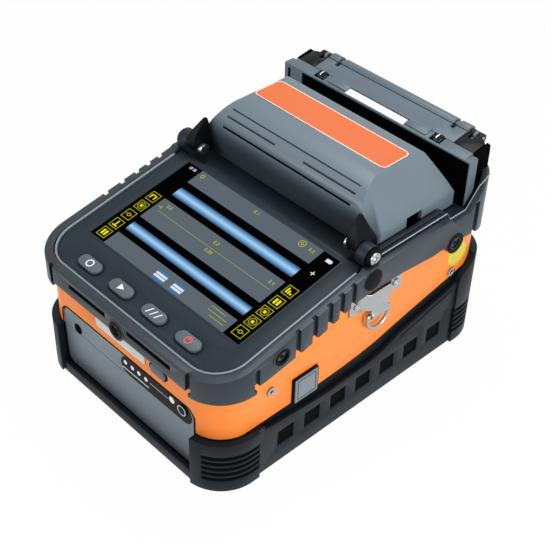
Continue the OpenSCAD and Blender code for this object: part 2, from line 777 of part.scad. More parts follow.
module arc_base() color("#9aa1a6") {
    difference() {
        union() {
            span([-48, fibre_y - 30, base_top - base_t], [48, fibre_y + 28, base_top]);
            span([-block_x, fibre_y - 16.4, base_top - 1], [block_x, fibre_y + 16.4, block_top]);
        }
        for (s = [-1, 1]) tube_axis(s) cylinder(r = tube_r + pin_gap, h = 60);
        span([-4, fibre_y - 4, base_top], [4, fibre_y + 4, block_top + 1]);
    }
}

module v_groove() color("#f0efe8") for (s = [-1, 1]) difference() {
    span([s > 0 ? 4.6 : -block_x + 1, fibre_y - 3, block_top], [s > 0 ? block_x - 1 : -4.6, fibre_y + 3,
        fibre_z + 0.3]);
    translate([0, fibre_y, fibre_z]) rotate([45, 0, 0]) cube([4 * block_x, 0.8, 0.8], center = true);
}

module electrodes() color("#c9b27a") for (s = [0, 180])
    translate([0, fibre_y, fibre_z]) rotate([0, 0, s]) rotate([-90, 0, 0])
        rotate_extrude() polygon([[0, arc_gap / 2], [electrode_r, arc_gap / 2 + 3.4],
            [electrode_r, electrode_l], [0, electrode_l]]);

module electrode_clamps() color("#3b4046") for (s = [0, 1])
    translate([0, fibre_y, 0]) mirror([0, s, 0]) difference() {
        union() {
            span([-5, 8, block_top + 0.05], [5, 16, fibre_z + 3.6]);
            translate([0, 12, fibre_z + 3.5]) cylinder(r = 3, h = 3);
        }
        translate([0, 7, fibre_z]) rotate([-90, 0, 0]) cylinder(r = electrode_r + pin_gap, h = 12);
    }

module objectives() color("#15171a") for (s = [-1, 1]) tube_axis(s) {
    translate([0, 0, 12]) cylinder(r = tube_r - 1.5, h = 4);
    translate([0, 0, 15]) cylinder(r = tube_r, h = tube_l - 15.1);
}

module camera_boards() color("#1f6b45") for (s = [-1, 1]) tube_axis(s)
    translate([-camera_w / 2, -camera_w / 2, tube_l]) cube([camera_w, camera_w, 1.6]);

module feed_motors() color("#b9bec2") both() {
    x_pin(20, 44, fibre_y, base_top - base_t - seat - motor_r, motor_r);
    x_pin(12, 20.1, fibre_y, base_top - base_t - seat - motor_r, 1.5);
}

module stage() color("#7f878d") difference() {
    union() {
        span([stage_x[0], stage_y[0], base_top + seat], [stage_x[1], stage_y[1], stage_top]);
        x_pin(stage_x[0] + 9, stage_x[1] - 9, holder_hinge[0], holder_hinge[1] - 0.2, 1.8);
        span([stage_x[0] + 9, stage_y[1] - 0.1, stage_top - 4], [stage_x[1] - 9, holder_hinge[0],
            holder_hinge[1] - 0.2]);
    }
    translate([0, fibre_y, stage_top]) rotate([45, 0, 0]) cube([200, 1.6, 1.6], center = true);
    x_pin(0, stage_x[1] + 9, holder_hinge[0], holder_hinge[1], 1 + pin_gap);
    for (x = holder_x) x_pin(x - seat, x + holder_w + seat, holder_hinge[0], holder_hinge[1],
        1.8 + seat);
}

module stage_right() stage();
module stage_left() mirror([1, 0, 0]) stage();

// Lid of a fibre holder, with its hinge pin through the stage's knuckle
module holder_lid() color("#2c3136") {
    x_pin(stage_x[0] + 2, stage_x[1] - 2, holder_hinge[0], holder_hinge[1], 1);
    for (x = holder_x) {
        x_pin(x, x + holder_w, holder_hinge[0], holder_hinge[1], 1.8);
        span([x, stage_y[1] - 2, stage_top + 1], [x + holder_w, holder_hinge[0], holder_hinge[1] + 1.8]);
    }
    span([stage_x[0] + 1, stage_y[0] + 1, stage_top + seat], [stage_x[1] - 1, stage_y[1] - 1.5,
        stage_top + 3.4]);
}

module holder_lid_right() holder_lid();
module holder_lid_left() mirror([1, 0, 0]) holder_lid();

// Outline of the cover seen from the side, inset by t
cover_roll = (cover_back - cover_front) / 58.03;
function cover_side(t) = concat(
    [[cover_front + t, rail_top - 4], [cover_front - 1.3 + t, rail_top + 0.4]],
    [for (p = [[-3.2, -15, 1, 0], [-3.2, -12.4, 1, -0.2],
        [-2.6, -10.2, 0.9, -0.4], [-1.2, -7.6, 0.8, -0.6], [1, -5.2, 0.7, -0.7], [3.6, -3.1, 0.5, -0.8],
        [6.8, -1.5, 0.4, -0.9], [10.4, -0.4, 0.2, -1], [14, 0, 0, -1]])
        [cover_front + p[0] * cover_roll + p[2] * t, cover_top + p[1] + p[3] * t]],
    [[cover_back - 16 * cover_roll - 0.2 * t, cover_top - t],
        [cover_back - 13 * cover_roll - t, cover_top - 1.2 - t],
        [cover_back - 0.4 - 1.2 * t, rail_low + 7.1], [cover_back - t, rail_low + 4.1],
        [cover_back - 0.4 - t, rail_low], [cover_back - 0.4 - t, deck_top + 0.6]]);

// Outline of the cover seen from the front, inset by t
cheek_z = rail_low + 7.4;
cheek_x = cover_low_x - cover_top_x;
cheek_h = cover_top - cheek_z;
function cover_half(t, s) = concat([[s * (cover_low_x - t), 0]],
    [for (p = [[0, 0, 0], [0.083, 0.136, 0.2], [0.195, 0.289, 0.3], [0.33, 0.442, 0.4],
        [0.478, 0.59, 0.5], [0.62, 0.73, 0.6], [0.762, 0.865, 0.7], [0.873, 0.955, 0.85], [1, 1, 1]])
        [s * (cover_low_x - p[0] * cheek_x - t * (1 - 0.4 * p[1])), cheek_z + p[1] * cheek_h - p[2] * t]]);

module cover_solid(t, low) {
    right = cover_half(t, 1);
    last = len(right) - 1;
    intersection() {
        side(concat(cover_side(t), [[cover_back - t, low], [cover_front + t, low]]), 3 * hx);
        translate([0, 120, 0]) rotate([90, 0, 0]) linear_extrude(200)
            polygon(concat(cover_half(t, -1), [for (i = [0:last]) right[last - i]]));
    }
}

module wind_cover() color("#6d7a84") {
    bottom = deck_top + 0.6;
    difference() {
        union() {
            difference() {
                cover_solid(0, bottom);
                cover_solid(cover_t, bottom - 5);
            }
            both() {
                x_pin(arm_in, arm_out, hinge_y, hinge_z, 5.4);
                intersection() {
                    side(concat([for (p = [[-5, 2], [-4.6, 3.8], [-4.2, 7.5], [-5, 12.4], [-3.5, 13.4],
                        [2, 14], [7.1, 5.5]]) [hinge_y + p[0], hinge_z + p[1]]],
                        [[cover_front + 1, hinge_z + 5.2], [cover_front + 1, hinge_z - 4],
                        [hinge_y + 2, hinge_z - 5]]), 2 * arm_out);
                    span([arm_in, hinge_y - 20, 0], [arm_out, cover_front + 4, tall]);
                }
            }
        }
        both() x_pin(arm_in - 1, arm_out + 1, hinge_y, hinge_z, axle_r + pin_gap);
        for (g = [[4, -3], [-2.8, -10]])
            span([1 - cover_top_x, cover_front + g[0] - 0.5, cover_top + g[1] - 0.8],
                [cover_top_x - 1, cover_front + g[0] + 0.6, cover_top + g[1] + 2.2]);
        both() span([9.8, cover_front + 0.1, cover_top - 7.1],
            [cover_top_x - 1, cover_front + 1.2, cover_top - 4]);
        both() span([cover_low_x - 6, fibre_y - notch_w / 2, bottom - 1],
            [cover_low_x + 1, fibre_y + notch_w / 2, fibre_z + notch_up]);
    }
}

module cover_label() color("#f28440") translate([0, fibre_y, cover_top + 0.02])
    slab(label_w, label_d, 3, 0.25);

module cover_lamp() color("#e9e6d8") span([-20, fibre_y - 6, cover_top - cover_t - 1.9],
    [20, fibre_y + 6, cover_top - cover_t - 0.1]);

module clamp_arms() color("#8d959b") both() {
    span([6, fibre_y - 1.6, fibre_z + 3], [9, fibre_y + 1.6, cover_top - cover_t - 2]);
    span([5.4, fibre_y - 2.6, fibre_z + 0.7], [9.6, fibre_y + 2.6, fibre_z + 3.1]);
}

module heater_base() color("#66727c") {
    rear = heater_pin_y - 2.9;
    profile = [[heater_y, deck_top + 0.2], [heater_y, heater_top], [heater_y + bar_d, heater_top + bar_rise],
        [heater_y + bar_d, cavity_z], [trough_back, cavity_z], [trough_back, heater_top - 3.4],
        [rear, heater_top - 3.4],
        [rear, deck_top + 0.2]];
    difference() {
        union() {
            intersection() {
                side(profile, 2 * (heater_x - 3.4));
                slab(body_w - 2 * seat, body_d - 2 * seat, body_r - seat, tall);
            }
            both() span([heater_x - 3.5, heater_y, deck_top + 0.2],
                [heater_x, heater_y + bar_d, heater_top]);
            both() for (k = lug_x) pin_lug(k, lug_w);
        }
        both() span([36.6, heater_y + 1.2, heater_top - 4],
            [43.4, heater_y + bar_d + 1, heater_top + 3]);
        span([-heater_x - 1, trough_y - 1.2, heater_top - 8],
            [heater_x + 1, trough_y + 1.2, heater_top + 3]);
        x_pin(-heater_x, heater_x, heater_pin_y, heater_pin_z, heater_pin_r + pin_gap);
    }
}

// Lug that carries the heater's hinge pin
module pin_lug(x, w) {
    side_x = [x, x + w];
    x_pin(side_x[0], side_x[1], heater_pin_y, heater_pin_z, 2.6);
    span([side_x[0], heater_pin_y - 4.6, heater_top - 8], [side_x[1], heater_pin_y + 1.6, heater_pin_z]);
}

module heater_pin() color("#c9cdd0") x_pin(-pin_end, pin_end, heater_pin_y, heater_pin_z,
    heater_pin_r);

module heater_plate() color("#c4c8ca") difference() {
    span([-34, trough_y - trough_w / 2 - plate_t, cavity_z + seat],
        [34, trough_y + trough_w / 2 + plate_t, heater_top - 4]);
    span([-35, trough_y - trough_w / 2, cavity_z + seat + 1.4], [35, trough_y + trough_w / 2, heater_top]);
}

module heater_label() color("#f2f3f3") translate([0, heater_y + 2.6, heater_top + 0.6])
    rotate([atan(bar_rise / bar_d), 0, 0]) cube_xy(40, 4.2, 0.3);

// Lid slice over the trough between x0 and x1, hung on the pin in a roll of radius r
module lid_slice(x0, x1, drop, r) {
    y0 = heater_y + bar_d + 0.3;
    rise = (heater_y + 17.3 - y0) * 0.17;
    z0 = heater_top + bar_rise - drop;
    span_x = x1 - x0;
    difference() {
        union() {
            translate([(x0 + x1) / 2, 0, 0]) side([[y0, z0 - 1.8], [y0, z0], [heater_pin_y - 3, z0 + rise],
                [heater_pin_y + 1, z0 + rise - 0.4], [heater_pin_y + 2, heater_pin_z],
                [heater_pin_y - 2, heater_pin_z - 2], [heater_pin_y - 3.4, z0 - 1.8]], span_x);
            x_pin(x0, x1, heater_pin_y, heater_pin_z, r);
        }
        x_pin(x0 - 1, x1 + 1, heater_pin_y, heater_pin_z, heater_pin_r + pin_gap);
    }
}

module lug_gaps() {
    for (k = lug_x) both() span([k - run_gap, heater_pin_y - 6, heater_top - 10],
        [k + lug_w + run_gap, heater_pin_y + 6, tall]);
}

module heater_lid() color("#5f6b74") {
    difference() {
        lid_slice(-lid_x, lid_x, 0, roll_r);
        lug_gaps();
    }
    both() difference() {
        span([38, heater_y + 2.4, heater_top - 2.4], [42, heater_y + bar_d + 0.6, heater_top + 1.1]);
        span([37, heater_y + 1, heater_top - 1], [43, heater_y + bar_d - 1.6, heater_top + 0.1]);
    }
    difference() {
        side([[heater_y + 1.6, heater_top + 0.5], [heater_y + 1.6, heater_top + 0.9],
            [heater_y + bar_d + 1, heater_top + bar_rise + 0.7], [heater_y + bar_d + 1,
            heater_top + bar_rise - 0.1], [heater_y + bar_d + 0.3, heater_top + bar_rise + 0.25]], 68);
        translate([0, heater_y + 2.6, heater_top - 1]) cube_xy(41, 5.4, 4);
    }
}

module heater_clamp_right() color("#1b1f23") difference() {
    intersection() {
        lid_slice(clamp_x[0], clamp_x[1], 0.6, 2.6);
        union() {
            slab(body_w, body_d, body_r, tall);
            span([clamp_x[0] - 1, heater_pin_y - 6, 0], [pin_end, heater_pin_y + 6, tall]);
        }
    }
    lug_gaps();
}

module heater_clamp_left() mirror([1, 0, 0]) heater_clamp_right();

module battery_case() color("#77828b") {
    mid = batt_z + batt_h / 2;
    difference() {
        upright(batt_front, batt_d) translate([0, mid]) rrect(batt_w, batt_h, batt_r);
        span([-batt_w / 2 + 3, batt_front + 4, batt_z + 2], [batt_w / 2 - 3, batt_front + batt_d - 2,
            batt_top - 2]);
        upright(batt_front - 1, 1 + window_t) window_shape(0.1);
        translate([test_x, batt_front - 1, test_z]) rotate([-90, 0, 0]) cylinder(r = test_r + run_gap,
            h = 4);
        translate([11.2 - batt_w / 2, batt_front - 1, batt_top - 9.6]) rotate([-90, 0, 0])
            cylinder(r = 2.75, h = 4);
        span([-batt_w / 2 - 1, batt_front - 1, seam_z],
            [window_x[0] + 3, batt_front + 0.4, seam_z + 0.4]);
    }
}

module window_shape(grow) {
    translate([(window_x[0] + window_x[1]) / 2, window_z])
        stadium(window_x[1] - window_x[0] + 2 * grow, window_h + 2 * grow);
}

module battery_window() color("#0b0c0d") difference() {
    upright(batt_front - 0.1, window_t) window_shape(0);
    translate([test_x, batt_front - 2, test_z]) rotate([-90, 0, 0]) cylinder(r = test_r + run_gap, h = 5);
}

module battery_test_key() color("#20262b") translate([test_x, batt_front - 0.6, test_z])
    rotate([-90, 0, 0]) cylinder(r = test_r, h = 2.6);

module battery_cells() color("#2f6f9f") for (i = [0:cell_n - 1])
    translate([(i - (cell_n - 1) / 2) * cell_pitch, batt_front + batt_d - 2.2, batt_z + 2.2 + cell_r])
        rotate([90, 0, 0]) cylinder(r = cell_r, h = batt_d - 10);

module battery_board() color("#1f6b45") {
    span([window_x[0] - 4.1, batt_front + 4.2, batt_z + 2.2],
        [window_x[1] - 1.8, batt_front + 5.8, batt_top - 2.2]);
    for (i = [0:3]) span([i * 5.2 - 1.2, batt_front + 5.7, window_z], [i * 5.2 + 1.2, batt_front + 6.6,
        window_z + 3]);
}

module battery_latch() color("#8a949b") {
    upright(-hy - 0.9, wall + 2.4) translate([latch_x, front_row_z]) stadium(latch_l, latch_w);
    upright(-hy + wall + seat, 1.2) translate([latch_x, front_row_z]) stadium(latch_l + 3, latch_w + 3);
}

module light_strip() color("#d5d8d3") upright(-hy - 0.5, 1.4) translate([strip_x, front_row_z])
    square([strip_w, strip_h], center = true);

module port_cover() color("#8e979d") {
    w = port_w - 2;
    h = port_h - 1.6;
    zc = port_z + 0.8;
    yc = port_y + port_w / 2;
    span([hx - 0.4, yc - w / 2, zc], [hx + 1.6, yc + w / 2, zc + h]);
    span([hx - 2.2, yc - w / 2 + 1.4, zc + 1.4], [hx - 0.3, yc + w / 2 - 1.4, zc + h - 1.4]);
    translate([hx + 0.4, yc - w / 2, zc]) rotate([-90, 0, 0]) cylinder(r = 0.7, h = w);
}

module seal_sticker() color("#d9d84a") x_pin(hx, hx + 0.15, hy - 22.8, 59.8, 7);

base_tray();
body_shell();
rubber_boot();
feet();
bumper_frame();
frame_screws();
side_screws();
splice_deck();
front_panel();
panel_rim();
lcd_module();
screen_glass();
key_board();
battery_bay();
main_board();
arc_module();
side_ports();
fan_housing();
fan_rotor();
hinge_axles();
strap_brackets();
d_ring_right();
d_ring_left();
arc_base();
v_groove();
electrodes();
electrode_clamps();
objectives();
camera_boards();
feed_motors();
stage_left();
stage_right();
holder_lid_left();
holder_lid_right();
wind_cover();
cover_label();
cover_lamp();
clamp_arms();
heater_base();
heater_plate();
heater_label();
heater_lid();
heater_clamp_left();
heater_clamp_right();
heater_pin();
battery_case();
battery_cells();
battery_board();
battery_window();
battery_test_key();
battery_latch();
light_strip();
port_cover();
seal_sticker();
key_circle();
key_arrow();
key_bars();
key_power();
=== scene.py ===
"""Dressing of a fibre fusion splicer.

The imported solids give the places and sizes. The classes below dress them: they soften the edges of the
mouldings, shape the wind cover, light up the screen, and give every piece its finish.
Lengths in the classes are millimetres in the frame of the solids: +Z up, keys towards -Y, origin at the
centre of the base.
"""

import logging
import math
from dataclasses import dataclass, field
from enum import Enum
from typing import Callable, Sequence

import bpy
from mathutils import Matrix, Quaternion, Vector


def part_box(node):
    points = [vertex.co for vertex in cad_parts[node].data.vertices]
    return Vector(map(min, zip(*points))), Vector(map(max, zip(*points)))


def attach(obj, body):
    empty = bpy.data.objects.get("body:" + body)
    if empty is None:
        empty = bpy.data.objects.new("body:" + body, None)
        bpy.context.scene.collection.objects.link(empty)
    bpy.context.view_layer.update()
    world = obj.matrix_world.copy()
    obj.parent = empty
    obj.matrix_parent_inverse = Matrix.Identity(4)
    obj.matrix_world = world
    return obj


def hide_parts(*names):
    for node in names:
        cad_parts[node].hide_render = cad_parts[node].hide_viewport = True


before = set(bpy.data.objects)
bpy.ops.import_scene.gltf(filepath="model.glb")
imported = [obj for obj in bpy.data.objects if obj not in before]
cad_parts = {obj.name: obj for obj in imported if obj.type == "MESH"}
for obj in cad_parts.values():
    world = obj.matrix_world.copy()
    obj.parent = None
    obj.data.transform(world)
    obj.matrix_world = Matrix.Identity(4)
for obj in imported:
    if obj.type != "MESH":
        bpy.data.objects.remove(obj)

log = logging.getLogger("splicer")
Piece = bpy.types.Object
Tree = bpy.types.NodeTree
Node = bpy.types.Node
Socket = bpy.types.NodeSocket
Pair = tuple[float, float]
Point = tuple[float, float, float]
Bar = tuple[float, float, float, float]
Box = tuple[Point, Point]
MM = 0.001
SIDES = (-1, 1)
UP: Point = (0, 0, 1)
AHEAD: Point = (0, -1, 0)
HINGE: Pair = (2.57, 93.26)


def srgb(red: int, green: int, blue: int) -> Point:
    """Turns a display colour into a linear one.

    Args:
        red: red, 0 to 255.
        green: green, 0 to 255.
        blue: blue, 0 to 255.

    Returns:
        The linear colour.
    """
    values = []
    for channel in (red, green, blue):
        part = channel / 255
        values.append(part / 12.92 if part <= 0.04045 else ((part + 0.055) / 1.055) ** 2.4)
    return values[0], values[1], values[2]


def preset(made: Node, values: dict[str | int, object]) -> None:
    """Gives inputs of a node their plain values."""
    for key, value in values.items():
        made.inputs[key].default_value = value


def wire(tree: Tree, kind: str, feeds: dict[str | int, Socket] | None = None,
         values: dict[str | int, object] | None = None, **settings: str) -> Node:
    """Adds a shader node, sets it and links what feeds it.

    Args:
        tree: the nodes to add to.
        kind: its type, without the leading "ShaderNode".
        feeds: the sockets that feed its inputs.
        values: plain values of its inputs.
        settings: its own settings.

    Returns:
        The node.
    """
    made = tree.nodes.new("ShaderNode" + kind)
    for key, value in settings.items():
        setattr(made, key, value)
    preset(made, values or {})
    for key, socket in (feeds or {}).items():
        tree.links.new(socket, made.inputs[key])
    return made


class Surface(Enum):
    """How a finish is broken up."""

    MOULDED = "moulded"
    RUBBER = "rubber"
    METAL = "metal"
    BRUSHED = "brushed"
    PRINT = "print"
    LIT = "lit"


@dataclass(frozen=True)
class ShadeFade:
    """Painted shade: a slow darkening of a moulding's colour between two heights, spared behind a given Y."""

    start: float
    end: float
    low: float
    spared_y: float = 1000.0


@dataclass(frozen=True)
class Finish:
    """One finish of the object, made into a node material on demand."""

    name: str
    slot: str
    colour: Point
    surface: Surface = Surface.MOULDED
    rough: float = 0.45
    metallic: float = 0.0
    specular: float = 0.5
    coat: float = 0.0
    coat_rough: float = 0.2
    grain: float = 2400.0
    bump: float = 0.03
    mottle: float = 0.05
    glow: float = 0.0
    # Painted shade, where given: the colour darkens towards the piece's lower edge.
    shade_fade: ShadeFade | None = None

    def material(self) -> bpy.types.Material:
        """Makes the material of this finish, once.

        Returns:
            The material.
        """
        title = self.name + "_finish"
        found = bpy.data.materials.get(title)
        if found is not None:
            return found
        made = bpy.data.materials.new(title)
        made.use_nodes = True
        tree = made.node_tree
        shader = tree.nodes["Principled BSDF"]
        preset(shader, {"Metallic": self.metallic, "Specular IOR Level": self.specular,
                        "Coat Weight": self.coat, "Coat Roughness": self.coat_rough,
                        "Base Color": (*self.colour, 1), "Roughness": self.rough})
        if self.surface is Surface.LIT:
            preset(shader, {"Emission Color": (*self.colour, 1), "Emission Strength": self.glow,
                            "Base Color": (0, 0, 0, 1)})
            return made
        where = wire(tree, "Mapping", {"Vector": wire(tree, "TexCoord").outputs["Object"]})
        if self.surface is Surface.BRUSHED:
            preset(where, {"Scale": (1.0, 0.06, 1.0)})
        self._tone(tree, shader, where)
        self._relief(tree, shader, where)
        return made

    def _tone(self, tree: Tree, shader: Node, where: Node) -> None:
        """Adds slow changes of tone and gloss, and the painted shade where given.

        Args:
            tree: the material's nodes.
            shader: the shader node.
            where: the node that gives the place.
        """
        cloud = wire(tree, "TexNoise", {"Vector": where.outputs["Vector"]}, {"Scale": 38.0, "Detail": 4.0})
        low, high = 1 - self.mottle, 1 + self.mottle
        tone = wire(tree, "Mix", {"Factor": cloud.outputs["Fac"]},
                    {"A": (*(part * low for part in self.colour), 1),
                     "B": (*(min(1.0, part * high) for part in self.colour), 1)}, data_type="RGBA")
        colour = tone.outputs["Result"]
        # Painted shade: darkens the colour towards the lower edge where the finish has a shade fade.
        if self.shade_fade is not None:
            colour = self._paint_shade_fade(tree, colour, self.shade_fade)
        tree.links.new(colour, shader.inputs["Base Color"])
        gloss = wire(tree, "MapRange", {"Value": cloud.outputs["Fac"]},
                     {"From Min": 0.3, "From Max": 0.7, "To Min": max(0.02, self.rough - 0.06),
                      "To Max": min(1.0, self.rough + 0.06)})
        tree.links.new(gloss.outputs["Result"], shader.inputs["Roughness"])

    @staticmethod
    def _paint_shade_fade(tree: Tree, colour: Socket, shade_fade: ShadeFade) -> Socket:
        """Paints shade into a colour: darkens it towards the piece's lower edge.

        Args:
            tree: the material's nodes.
            colour: the colour.
            shade_fade: the heights between which the painted shade darkens it.

        Returns:
            The colour with its painted shade.
        """
        place = wire(tree, "TexCoord")
        parts = wire(tree, "SeparateXYZ", {"Vector": place.outputs["Object"]})
        height = wire(tree, "MapRange", {"Value": parts.outputs["Z"]},
                      {"From Min": shade_fade.start * MM, "From Max": shade_fade.end * MM, "To Min": shade_fade.low},
                      interpolation_type="SMOOTHSTEP")
        behind = wire(tree, "MapRange", {"Value": parts.outputs["Y"]},
                      {"From Min": shade_fade.spared_y * MM, "From Max": (shade_fade.spared_y + 3) * MM})
        share = wire(tree, "Math", {0: height.outputs["Result"], 1: behind.outputs["Result"]},
                     operation="MAXIMUM")
        mixed = wire(tree, "Mix", {"B": colour, "Factor": share.outputs["Value"]}, {"A": (0, 0, 0, 1)},
                     data_type="RGBA")
        return mixed.outputs["Result"]

    def _relief(self, tree: Tree, shader: Node, where: Node) -> None:
        """Adds the fine grain of the surface.

        Args:
            tree: the material's nodes.
            shader: the shader node.
            where: the node that gives the place.
        """
        cells = self.surface in (Surface.RUBBER, Surface.MOULDED)
        grain = wire(tree, "TexVoronoi" if cells else "TexNoise", {"Vector": where.outputs["Vector"]},
                     {"Scale": self.grain})
        relief = wire(tree, "Bump", {"Height": grain.outputs["Distance" if cells else "Fac"]},
                      {"Strength": self.bump, "Distance": 0.0002})
        tree.links.new(relief.outputs["Normal"], shader.inputs["Normal"])


class Finishes:
    """The finishes of the splicer."""

    SHELL = Finish("shell_orange", "orange_shell", srgb(246, 136, 54), rough=0.4, bump=0.02, specular=0.25)
    TRAY = Finish("tray_black", "black_plastic", srgb(10, 11, 13), rough=0.5, specular=0.1)
    BOOT = Finish("boot_rubber", "boot_rubber", srgb(13, 22, 29), Surface.RUBBER, rough=0.5, bump=0.08,
                  specular=0.18)
    # Near black that paints the shade in the boot's pockets and between its ribs.
    BOOT_SHADE = Finish("boot_painted_shade", "boot_rubber", srgb(6, 7, 9), Surface.RUBBER, rough=0.8, specular=0.04)
    FOOT = Finish("foot_rubber", "foot_rubber", srgb(24, 25, 27), Surface.RUBBER, rough=0.8, bump=0.1)
    FRAME = Finish("frame_rubber", "frame_rubber", srgb(35, 45, 53), Surface.RUBBER, rough=0.36, bump=0.05,
                   specular=0.35)
    BOSS = Finish("boss_black", "dark_steel", srgb(6, 7, 9), rough=0.45, specular=0.06)
    # Flat black that paints the shade in gaps, seams, grooves, pits and holes.
    SHADE = Finish("painted_shade_black", "black_plastic", srgb(3, 4, 5), Surface.PRINT, rough=0.9, specular=0.02)
    SCREW = Finish("screw_steel", "dark_steel", srgb(96, 102, 108), Surface.METAL, rough=0.3, metallic=1.0)
    BRIGHT = Finish("bright_nickel", "bright_steel", srgb(176, 179, 180), Surface.METAL, rough=0.24, metallic=1.0)
    DECK = Finish("deck_grey", "deck_grey", srgb(28, 36, 43), rough=0.4, specular=0.15)
    PANEL = Finish("panel_slate", "panel_slate", srgb(35, 45, 52), rough=0.42, bump=0.03, specular=0.12)
    RIM = Finish("rim_silver", "rim_silver", srgb(118, 130, 138), Surface.METAL, rough=0.35, specular=0.5)
    SHEET = Finish("sheet_metal", "sheet_metal", srgb(196, 200, 204), Surface.BRUSHED, rough=0.3, metallic=1.0)
    GLASS = Finish("screen_black", "screen_glass", srgb(6, 6, 7), Surface.PRINT, rough=0.18, coat=0.3)
    BOARD = Finish("circuit_green", "circuit_board", srgb(26, 92, 58), Surface.PRINT, rough=0.4)
    POTTED = Finish("potted_black", "potted_black", srgb(34, 36, 40), rough=0.6)
    ALLOY = Finish("cast_alloy", "cast_alloy", srgb(160, 164, 168), Surface.METAL, rough=0.45, metallic=1.0,
                   bump=0.15)
    CERAMIC = Finish("ceramic", "ceramic", srgb(235, 232, 224), Surface.PRINT, rough=0.25)
    ROD = Finish("electrode_rod", "electrode_metal", srgb(190, 178, 150), Surface.BRUSHED, rough=0.3, metallic=1.0)
    ANODISED = Finish("black_anodised", "black_anodised", srgb(24, 26, 29), Surface.METAL, rough=0.4, metallic=0.4)
    # Painted shade: the cover's front wall darkens towards its lower edge, spared behind Y 14.
    COVER = Finish("cover_grey", "cover_grey", srgb(104, 118, 127), rough=0.34, bump=0.015, specular=0.3,
                   shade_fade=ShadeFade(96.0, 114.0, 0.3, 14.0))
    # The arms' near black is partly their own dark plastic, partly painted shade.
    COVER_ARM = Finish("cover_arm_black_and_shade", "cover_grey", srgb(9, 12, 16), rough=0.4, specular=0.08)
    LABEL = Finish("label_orange", "label_orange", srgb(214, 100, 38), Surface.PRINT, rough=0.4, bump=0.01)
    LABEL_EDGE = Finish("label_border", "label_white", srgb(240, 226, 216), Surface.PRINT, rough=0.4)
    LAMP = Finish("lamp_milky", "lamp_white", srgb(236, 233, 222), Surface.PRINT, rough=0.3)
    HEATER = Finish("heater_grey", "heater_grey", srgb(88, 102, 111), rough=0.38, bump=0.02, specular=0.3)
    HEATER_WHITE = Finish("heater_label", "label_white", srgb(226, 232, 238), Surface.PRINT, rough=0.4)
    CLAMP = Finish("clamp_black", "gloss_black", srgb(9, 11, 13), rough=0.3, specular=0.12)
    # Painted shade: the battery's face darkens towards its lower edge.
    BATTERY = Finish("battery_grey", "battery_grey", srgb(112, 126, 135), rough=0.4, bump=0.03, specular=0.3,
                     shade_fade=ShadeFade(4.0, 32.0, 0.35))
    CELL = Finish("cell_wrap", "cell_wrap", srgb(50, 110, 158), Surface.PRINT, rough=0.3)
    WINDOW = Finish("window_black", "window_black", srgb(5, 5, 6), Surface.PRINT, rough=0.3, specular=0.05)
    WHITE_MARK = Finish("white_mark", "label_white", srgb(238, 240, 242), Surface.PRINT, rough=0.4)
    RED_MARK = Finish("red_mark", "label_orange", srgb(222, 78, 70), Surface.PRINT, rough=0.4)
    KEY = Finish("key_grey", "key_grey", srgb(76, 87, 96), Surface.RUBBER, rough=0.45, bump=0.05, specular=0.4)
    # Near black that paints the shade round the keys and in the sunk line of the port cover.
    KEY_SHADE = Finish("key_well", "panel_slate", srgb(10, 13, 16), rough=0.5, specular=0.1)
    STRIP = Finish("strip_pale", "strip_pale", srgb(204, 208, 204), Surface.PRINT, rough=0.35)
    # Pale strips that paint the highlights along the rail and frame edges.
    EDGE_HIGHLIGHT = Finish("edge_line", "rim_silver", srgb(176, 188, 194), Surface.PRINT, rough=0.4)
    PORT = Finish("port_grey", "port_grey", srgb(112, 123, 130), Surface.RUBBER, rough=0.45, bump=0.05)
    STICKER = Finish("sticker_green", "sticker_green", srgb(200, 192, 52), Surface.PRINT, rough=0.5)


def lit(name: str, red: int, green: int, blue: int) -> Finish:
    """Makes a finish of the lit screen.

    Args:
        name: the finish's name.
        red: red, 0 to 255.
        green: green, 0 to 255.
        blue: blue, 0 to 255.

    Returns:
        The finish.
    """
    return Finish(name, "screen_glass", srgb(red, green, blue), Surface.LIT, rough=0.5, specular=0.0, glow=1.0)


